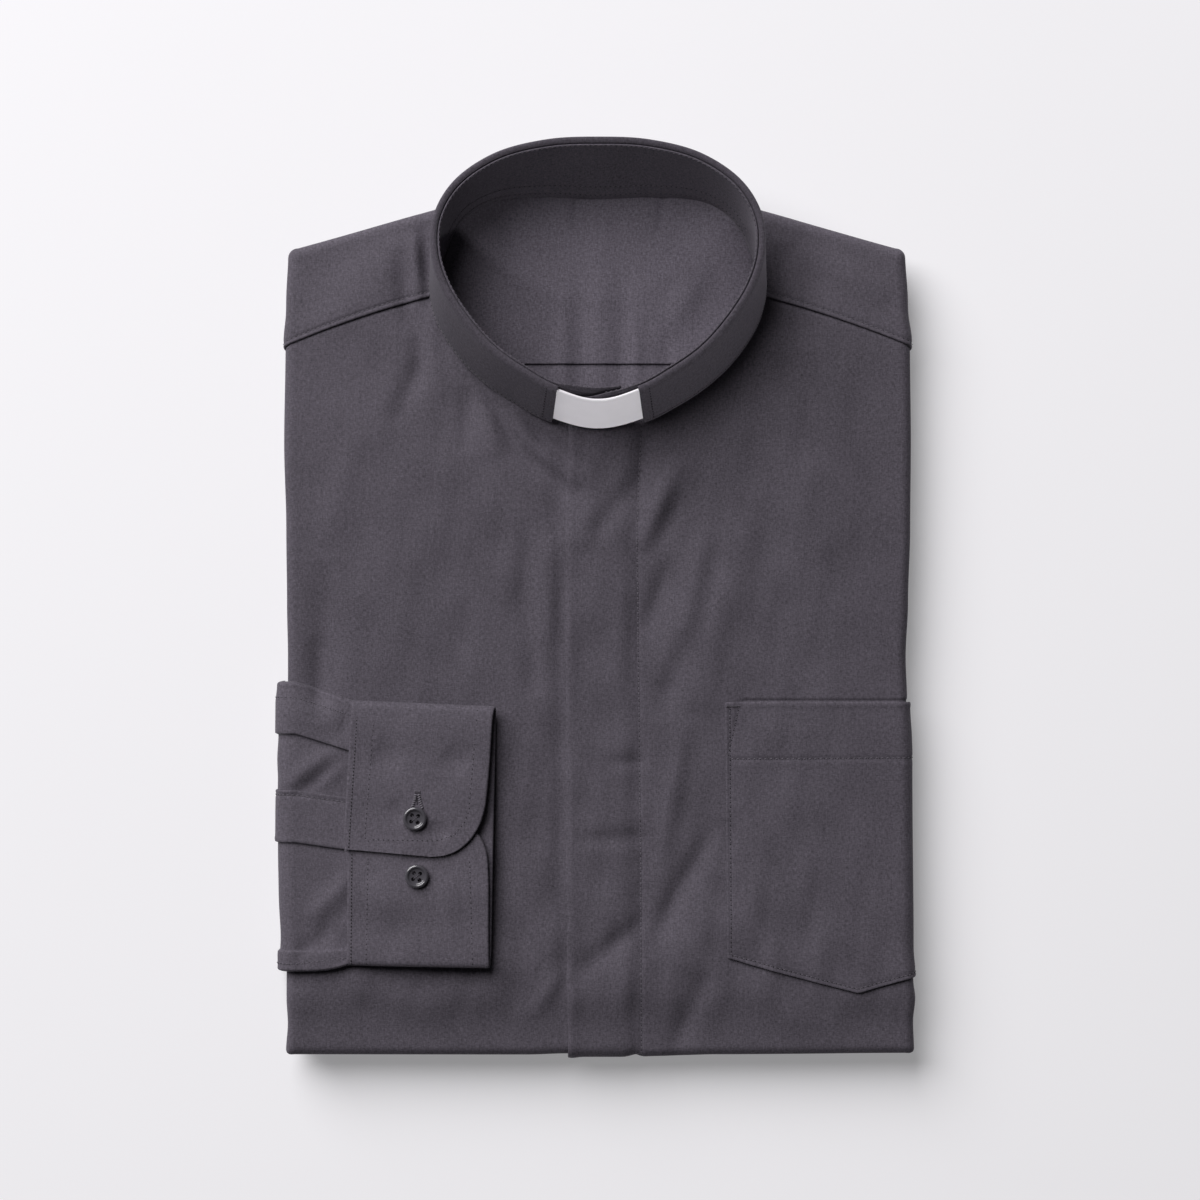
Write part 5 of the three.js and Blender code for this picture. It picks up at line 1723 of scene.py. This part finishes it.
@dataclass(frozen=True)
class Button:
    """A cuff button: a saucer with a wide raised rim and four holes."""

    name: str
    x: float
    y: float
    lift: float
    radius: float = 5.0
    thickness: float = 2.4
    disc: float = 3.3
    dish: float = 0.75
    hole: float = 0.82
    spacing: float = 2.7
    turn: float = math.radians(-7)
    sides: int = 56

    def _profile(self) -> Table:
        """Half of the section, from the middle of the back over the rim to the middle of the face."""
        r, t, d, low = self.radius, self.thickness, self.disc, self.thickness - self.dish
        return (
            (0, 0), (r - 1.6, 0), (r - 0.7, 0.25), (r - 0.18, 0.75), (r, 1.3), (r - 0.08, t - 0.6),
            (r - 0.35, t - 0.2), (r - 0.8, t), (r - 1.15, t - 0.02), (d + 0.22, t - 0.28), (d, low + 0.12),
            (d - 0.3, low), (1.2, low - 0.05), (0, low - 0.06),
        )

    def _revolved(self, name: str, profile: Table, sides: int, centre: tuple[float, float]) -> bpy.types.Mesh:
        """A turned shape from a section that starts and ends on its axis."""
        mesh = bpy.data.meshes.new(name)
        turns = np.arange(sides) * 2 * math.pi / sides
        points = [(centre[0], centre[1], profile[0][1])]
        for out, up in profile[1:-1]:
            points += [(centre[0] + out * math.cos(a), centre[1] + out * math.sin(a), up) for a in turns]
        points.append((centre[0], centre[1], profile[-1][1]))
        last, rings = len(points) - 1, len(profile) - 2
        faces = [(0, 1 + (k + 1) % sides, 1 + k) for k in range(sides)]
        for ring in range(rings - 1):
            a, b = 1 + ring * sides, 1 + (ring + 1) * sides
            faces += [(a + k, a + (k + 1) % sides, b + (k + 1) % sides, b + k) for k in range(sides)]
        a = 1 + (rings - 1) * sides
        faces += [(last, a + k, a + (k + 1) % sides) for k in range(sides)]
        mesh.from_pydata(points, [], faces)
        return mesh

    def _corner(self, across: int, along: int) -> tuple[float, float]:
        """The middle of one hole, from the button's middle."""
        half, turned, leaning = self.spacing / 2, math.cos(self.turn), math.sin(self.turn)
        return half * (across * turned - along * leaning), half * (across * leaning + along * turned)

    def seams(self, cuff: Cuff) -> list[Seam]:
        """The thread that crosses between the four holes."""
        height = float(cuff.base(self.x, self.y)) + self.lift + self.thickness - self.dish + 0.12
        seams = []
        for along in (-1, 1):
            ends = np.array((self._corner(-1, -along), self._corner(1, along)))
            flat = ends[0] + np.linspace(0.1, 0.9, 14)[:, None] * (ends[1] - ends[0])
            bow = height - 0.25 * np.linspace(-1, 1, 14) ** 4
            points = np.stack([self.x + flat[:, 0], self.y + flat[:, 1], bow], axis=-1)
            lie = np.tile((0.0, 0.0, 1.0), (14, 1))
            seams.append(Seam(points, lie, pitch=0.42, length=0.5, width=0.24, height=0.22, hole=0.02))
        return seams

    def mesh(self, cuff: Cuff) -> bpy.types.Mesh:
        """The button on its cuff.

        Args:
            cuff: What it is sewn to.

        Returns:
            The mesh, with its four holes cut.
        """
        saucer = bpy.data.objects.new("saucer", self._revolved("saucer", self._profile(), self.sides, (0, 0)))
        up = self.thickness + 1
        section = ((0, -1), (self.hole, -1), (self.hole, up), (0, up))
        drills = []
        for across, along in ((-1, -1), (-1, 1), (1, -1), (1, 1)):
            bore = self._revolved("drill", section, 16, self._corner(across, along))
            drills.append(bpy.data.objects.new("drill", bore))
        for thing in (saucer, *drills):
            bpy.context.scene.collection.objects.link(thing)
        for drill in drills:
            cut = saucer.modifiers.new("hole", "BOOLEAN")
            cut.operation, cut.object, cut.solver = "DIFFERENCE", drill, "EXACT"
        graph = bpy.context.evaluated_depsgraph_get()
        mesh = bpy.data.meshes.new_from_object(saucer.evaluated_get(graph), depsgraph=graph)
        for thing in (saucer, *drills):
            bpy.data.objects.remove(thing)
        points = np.empty(3 * len(mesh.vertices))
        mesh.vertices.foreach_get("co", points)
        height = float(cuff.base(self.x, self.y)) + self.lift
        points = (points.reshape(-1, 3) + (self.x, self.y, height) + CENTRING) * MM
        mesh.vertices.foreach_set("co", points.ravel())
        mesh.polygons.foreach_set("use_smooth", np.ones(len(mesh.polygons), dtype=bool))
        mesh.set_sharp_from_angle(angle=math.radians(50))
        return mesh


@dataclass(frozen=True)
class FoldedStack:
    """The hidden layers behind: sheets of folded cloth whose rounded edges show under the fronts."""

    body: FoldedBody
    # Each layer's underside and top, how far it stays in at the left, right and bottom, and Y of shoulder and crest.
    layers: Table = (
        (0.0, 1.95, 3.4, 2.6, 3.5, 112, 138), (1.75, 3.75, 3.9, 3.4, 2.7, 112, 138),
        (3.5, 5.5, 2.2, 3.4, 1.9, 139, 160), (5.25, 7.25, 3.1, 2.5, 3.0, 138, 159),
        (7.0, 8.9, 2.8, 2.2, 2.7, 141, 166), (8.65, 10.6, 2.2, 3.0, 2.0, 140, 165),
    )
    seed: int = 11
    outline_points: int = 420
    closed_in: float = 22.0
    flat_from: float = 8.0
    highest: float = 10.6
    cut: ClassVar[tuple[float, float]] = (0.70, 0.85)

    def _outline(self, layer: tuple[float, ...]) -> Array:
        """One layer's outline, evenly spaced and a little wavy."""
        _, _, in_left, in_right, in_bottom, shoulder, crest = layer
        left, right = -self.body.half_width + in_left, self.body.half_width - in_right
        low = self.body.bottom + in_bottom
        corners = np.array([
            (left + 4, low), (right - 4, low), (right - 1.2, low + 1.2), (right, low + 4), (right, shoulder - 5),
            (right - 1.4, shoulder - 0.6), (right - 6, shoulder + 1.4), (58, crest - 3), (36, crest), (-36, crest),
            (-58, crest - 3), (left + 6, shoulder + 1.4), (left + 1.4, shoulder - 0.6), (left, shoulder - 5),
            (left, low + 4), (left + 1.2, low + 1.2), (left + 4, low),
        ])
        length = length_along(corners)
        at = np.linspace(0, length[-1], self.outline_points + 1)[:-1]
        return np.stack([np.interp(at, length, corners[:, axis]) for axis in (0, 1)], axis=-1)

    def mesh(self) -> bpy.types.Mesh:
        """All the layers, each closed by itself."""
        rng = np.random.default_rng(self.seed)
        points, faces, flats, total = [], [], [], 0
        for number, layer in enumerate(self.layers):
            outline = self._outline(layer)
            run = unit(np.roll(outline, -1, axis=0) - np.roll(outline, 1, axis=0))
            out = np.stack([run[:, 1], -run[:, 0]], axis=-1)
            turn = np.linspace(0, 2 * math.pi, len(outline), endpoint=False)
            waves = [rng.uniform(0.06, 0.2) * np.sin(turn * n + rng.uniform(0, 6)) for n in (9, 17, 31, 53)]
            heave = [rng.uniform(0.03, 0.1) * np.sin(turn * n + rng.uniform(0, 6)) for n in (13, 27, 44)]
            outline = outline + out * (sum(waves) - 0.2)[:, None]
            low, high = layer[:2]
            half = (high - low) / 2
            rings = [(-self.closed_in, 0.0, -1), (-self.flat_from, 0.0, -1)]
            rings += [(half * (math.cos(a) - 1), math.sin(a), 0) for a in np.linspace(-math.pi / 2, math.pi / 2, 9)]
            rings += [(-self.flat_from, 0.0, 1), (-self.closed_in, 0.0, 1)]
            count = len(outline)
            for reach, up, side in rings:
                z = low + half + half * (up if side == 0 else side)
                wave = sum(heave) if number and up > -1 and side >= 0 else 0 * turn
                place = outline + out * reach
                points.append(np.column_stack([place, np.clip(z + wave, 0, self.highest)]))
                flats.append(place)
            for ring in range(len(rings) - 1):
                a = total + ring * count + np.arange(count)
                faces.append(np.stack([a, a + count, np.roll(a, -1) + count, np.roll(a, -1)], axis=-1))
            for start in (total, total + (len(rings) - 1) * count):
                faces.append(self._cap(start, count, start == total))
            total += len(rings) * count
        return ClothMesh.close("folded_stack", np.concatenate(points), np.concatenate(faces), np.concatenate(flats))

    @staticmethod
    def _cap(start: int, count: int, below: bool) -> Array:
        """Quads across a ring of points, from side to side."""
        half = count // 2
        first = start + np.arange(half)
        second = start + (count - 1 - np.arange(half))
        cap = np.stack([first[:-1], first[1:], second[1:], second[:-1]], axis=-1)
        return cap if below else cap[:, ::-1]


@dataclass(frozen=True)
class Studio:
    """The pale table, the soft light from the upper left and the camera straight above."""

    camera_at: Point = (0.00196, 0.0006, 1.6)
    lens: float = 112.857
    key_from: Point = (-0.56, 0.77, 0.78)
    key_distance: float = 4.0
    key_size: float = 3.8
    key_power: float = 236.0
    # Where each narrow lamp stands, what it looks at, its power in watts, and the pieces that it lights.
    snoots: tuple[tuple[Point, Point, float, tuple[str, ...]], ...] = (
        ((0.14, -1.02, 0.165), (0.0, 0.10, 0.038), 48.0, ("collar_outer_band",)),
        ((0.14, -1.02, 0.165), (0.0, 0.10, 0.038), 96.0, ("tab_insert",)),
        ((0.05, -0.74, 0.82), (0.0, 0.18, 0.034), 34.0, ("collar_inner_band", "inner_yoke")),
        ((1.08, 0.02, 0.12), (0.05, 0.14, 0.040), 42.0, ("collar_outer_band",)),
        ((-0.90, 0.30, 1.10), (-0.105, 0.14, 0.02), 14.0, ("yoke_over_right_shoulder", "right_front_panel")),
        ((0.50, 0.90, 1.10), (0.105, 0.14, 0.02), 13.0, ("yoke_over_left_shoulder",)),
        ((-0.90, 0.10, 1.10), (-0.110, -0.06, 0.03), 14.0, ("pressed_sleeve", "vent_strip")),
        ((-0.90, 0.10, 1.10), (-0.075, -0.12, 0.03), 17.0, ("cuff_strip",)),
    )
    snoot_width: float = 7.5
    snoot_size: float = 0.1
    sky: float = 0.04
    floor_size: float = 6.0
    floor_grey: tuple[float, float, float] = (0.74, 0.732, 0.752)
    floor_glow: float = 0.26

    def camera(self) -> None:
        """Sets the camera that the photograph was taken from."""
        data = bpy.data.cameras.new("camera")
        data.lens, data.sensor_width = self.lens, 36.0
        data.clip_start, data.clip_end = 0.01, 50.0
        seen = bpy.data.objects.new("camera", data)
        seen.location = self.camera_at
        bpy.context.scene.collection.objects.link(seen)
        bpy.context.scene.camera = seen

    @staticmethod
    def _hang(data: bpy.types.Light, spot: Point, away: Array) -> bpy.types.Object:
        """Hangs a lamp at a spot, so that it looks back against a direction."""
        lamp = bpy.data.objects.new(data.name, data)
        lamp.location = spot
        lamp.rotation_euler = (math.acos(away[2]), 0, math.atan2(away[0], -away[1]))
        bpy.context.scene.collection.objects.link(lamp)
        return lamp

    def _key(self) -> None:
        """Hangs the one soft lamp, which faces the garment from the upper left."""
        data = bpy.data.lights.new("key", "AREA")
        data.shape, data.size, data.energy = "DISK", self.key_size, self.key_power
        data.color = (1.0, 0.99, 1.0)
        away = np.array(self.key_from) / np.linalg.norm(self.key_from)
        self._hang(data, tuple(away * self.key_distance), away)

    def _aim(self, spot: Point, target: Point, power: float, lit: list[bpy.types.Object]) -> None:
        """Aims a narrow lamp at a few pieces, and masks the others from it.

        Args:
            spot: Where it stands.
            target: What it looks at.
            power: Its power, in watts.
            lit: The pieces that it lights.
        """
        data = bpy.data.lights.new("snoot", "SPOT")
        data.energy, data.shadow_soft_size = power, self.snoot_size
        data.spot_size, data.spot_blend = math.radians(self.snoot_width), 1.0
        lamp = self._hang(data, spot, unit(np.array(spot) - np.array(target)))
        mask = bpy.data.collections.new("lit_by_snoot")
        for piece in lit:
            mask.objects.link(piece)
        lamp.light_linking.receiver_collection = mask

    def light(self, pieces: dict[str, bpy.types.Object]) -> None:
        """Hangs the soft lamps and sets the room's own light."""
        self._key()
        for spot, target, power, lit in self.snoots:
            self._aim(spot, target, power, [pieces[name] for name in lit])
        world = bpy.data.worlds.new("room")
        world.use_nodes = True
        glow = world.node_tree.nodes["Background"]
        glow.inputs["Color"].default_value = (0.97, 0.98, 1.0, 1)
        glow.inputs["Strength"].default_value = self.sky
        bpy.context.scene.world = world
        bpy.context.scene.view_settings.view_transform = "Standard"

    def floor(self) -> None:
        """Lays the pale table that the garment lies on."""
        half = self.floor_size / 2
        mesh = bpy.data.meshes.new("table")
        mesh.from_pydata([(-half, -half, 0), (half, -half, 0), (half, half, 0), (-half, half, 0)], [], [(0, 1, 2, 3)])
        tree = Shader("pale_table")
        cloud = tree.noise(tree.place(), 6.0)
        pale = tuple(level * 0.985 for level in self.floor_grey)
        inputs = {
            "Base Color": tree.tint(cloud, pale, self.floor_grey),
            "Roughness": 0.9,
            "Specular IOR Level": 0.1,
            "Emission Color": (0.99, 0.985, 1.0, 1),
            "Emission Strength": self.floor_glow,
        }
        mesh.materials.append(tree.finish(inputs))
        table = bpy.data.objects.new("table", mesh)
        bpy.context.scene.collection.objects.link(table)


def declare(piece: bpy.types.Object) -> None:
    """Works out a piece's flat size and the flat area of its faces from its own UV map, but does nothing with them.

    Args:
        piece: The piece.
    """
    if piece.name == "folded_stack":
        return
    mesh = piece.data
    flat = np.empty(2 * len(mesh.loops))
    mesh.uv_layers[UV_NAME].data.foreach_get("uv", flat)
    flat = flat.reshape(-1, 2)
    size = np.ptp(flat, axis=0)
    quads = flat.reshape(-1, 4, 2)
    quads = quads[np.ptp(quads, axis=1)[:, 1] < size[1] / 2]  # a tube's closing faces run back across the whole map
    first, second = quads[:, 2] - quads[:, 0], quads[:, 3] - quads[:, 1]
    both_faces = np.abs(first[:, 0] * second[:, 1] - first[:, 1] * second[:, 0]).sum() / 2


def main() -> None:
    """Builds the garment's pieces in order and sets the studio round them."""
    logging.basicConfig(level=logging.INFO, format="%(name)s %(message)s")
    studio = Studio()
    studio.camera()
    poplin = Poplin("charcoal_poplin", (0.088, 0.078, 0.096)).shade()
    inside = Poplin("charcoal_poplin_inside", (0.088, 0.078, 0.096)).shade()
    # A lighter copy of the same cloth: painted light on the inner yoke and on the back seen inside the collar.
    behind = Poplin("charcoal_poplin_lit_lighter", (0.116, 0.103, 0.127)).shade()
    # A darker copy of the same cloth: painted shade on the collar's outer band.
    band = Poplin("charcoal_poplin_band_shaded_darker", (0.068, 0.060, 0.0745)).shade()
    white = Moulded("white_tab_plastic", (0.93, 0.90, 0.945), 0.38, 0.15).shade()
    dark = Moulded("dark_button_plastic", (0.070, 0.066, 0.077), 0.22, 1.0).shade()
    thread = Twist("charcoal_thread", (0.112, 0.101, 0.121)).shade()
    # Near-black beads that paint the shade inside needle holes and in the buttonhole's slit.
    holes = Twist("needle_hole_shade", (0.012, 0.011, 0.013), 0.95).shade()
    machine = SewingMachine(Stitching(thread, holes))

    body = FoldedBody()
    collar = Collar(body)
    seam = YokeSeam()
    fronts = Fronts(body, collar, seam)
    yoke = Yoke(body, collar, seam)
    neck = InsideNeck(body, collar)
    cuff = Cuff(body)
    sleeve = Sleeve(body, cuff)
    pocket = Pocket(body)

    made = {}

    def cloth(
        name: str, mesh: bpy.types.Mesh, node: str, rests_on: list[str], finish: bpy.types.Material = poplin
    ) -> None:
        """Adds one piece of cloth."""
        slot = Slot.INSIDE if finish in (inside, behind) else Slot.POPLIN
        piece = add_piece(name, mesh, finish, slot, node)
        made[name] = (piece, rests_on)

    cloth("folded_stack", FoldedStack(body).mesh(), "folded_layers", [], inside)
    cloth("right_front_panel", fronts.right(), "right_front", ["folded_stack"])
    cloth("left_front_panel", fronts.left(), "left_front", ["folded_stack", "right_front_panel"])
    cloth("yoke_over_left_shoulder", yoke.flap(1), "yoke", ["left_front_panel"])
    cloth("yoke_over_right_shoulder", yoke.flap(-1), "yoke", ["right_front_panel"])
    cloth("yoke_behind_neck", neck.under_yoke(), "yoke", ["folded_stack"])
    cloth("back_panel", neck.back(), "back", ["folded_stack"], behind)
    cloth("inner_yoke", neck.inner_yoke(), "yoke_lining", ["yoke_behind_neck"], behind)
    cloth("collar_outer_band", collar.outer_band(), "neckband_outer", ["right_front_panel"], band)
    cloth("collar_inner_band", collar.inner_band(), "neckband_inner", ["inner_yoke"], inside)
    cloth("pressed_sleeve", sleeve.mesh(), "sleeve", ["right_front_panel"])
    cloth("vent_strip", sleeve.strip(), "sleeve_placket", ["pressed_sleeve"])
    cloth("cuff_strip", cuff.mesh(), "cuff", ["right_front_panel"])
    cloth("breast_pocket", pocket.mesh(), "pocket", ["left_front_panel"])
    tab = add_piece("tab_insert", collar.tab(), white, Slot.TAB, "collar_tab")
    for button in (Button("upper_cuff_button", -76.5, -91.3, 6.8), Button("lower_cuff_button", -75.7, -115.4, 4.8)):
        node = "cuff_button_upper" if "upper" in button.name else "cuff_button_lower"
        add_piece(button.name, button.mesh(cuff), dark, Slot.BUTTON, node)
        machine.sew(button.name + "_thread", Slot.POPLIN, button.seams(cuff))

    rows = {
        "left_front_panel": fronts.seams(),
        "yoke_over_left_shoulder": yoke.seams(),
        "collar_outer_band": collar.seams(),
        "pressed_sleeve": sleeve.seams(),
        "cuff_strip": cuff.seams(),
        "breast_pocket": pocket.seams(),
    }
    for name, (piece, rests_on) in made.items():
        sewn = [machine.sew("stitches_" + name, Slot.POPLIN, rows[name])] if name in rows else []
        declare(piece)

    studio.light({"tab_insert": tab, **{name: piece for name, (piece, _) in made.items()}})
    studio.floor()


if __name__ == "__main__":
    main()
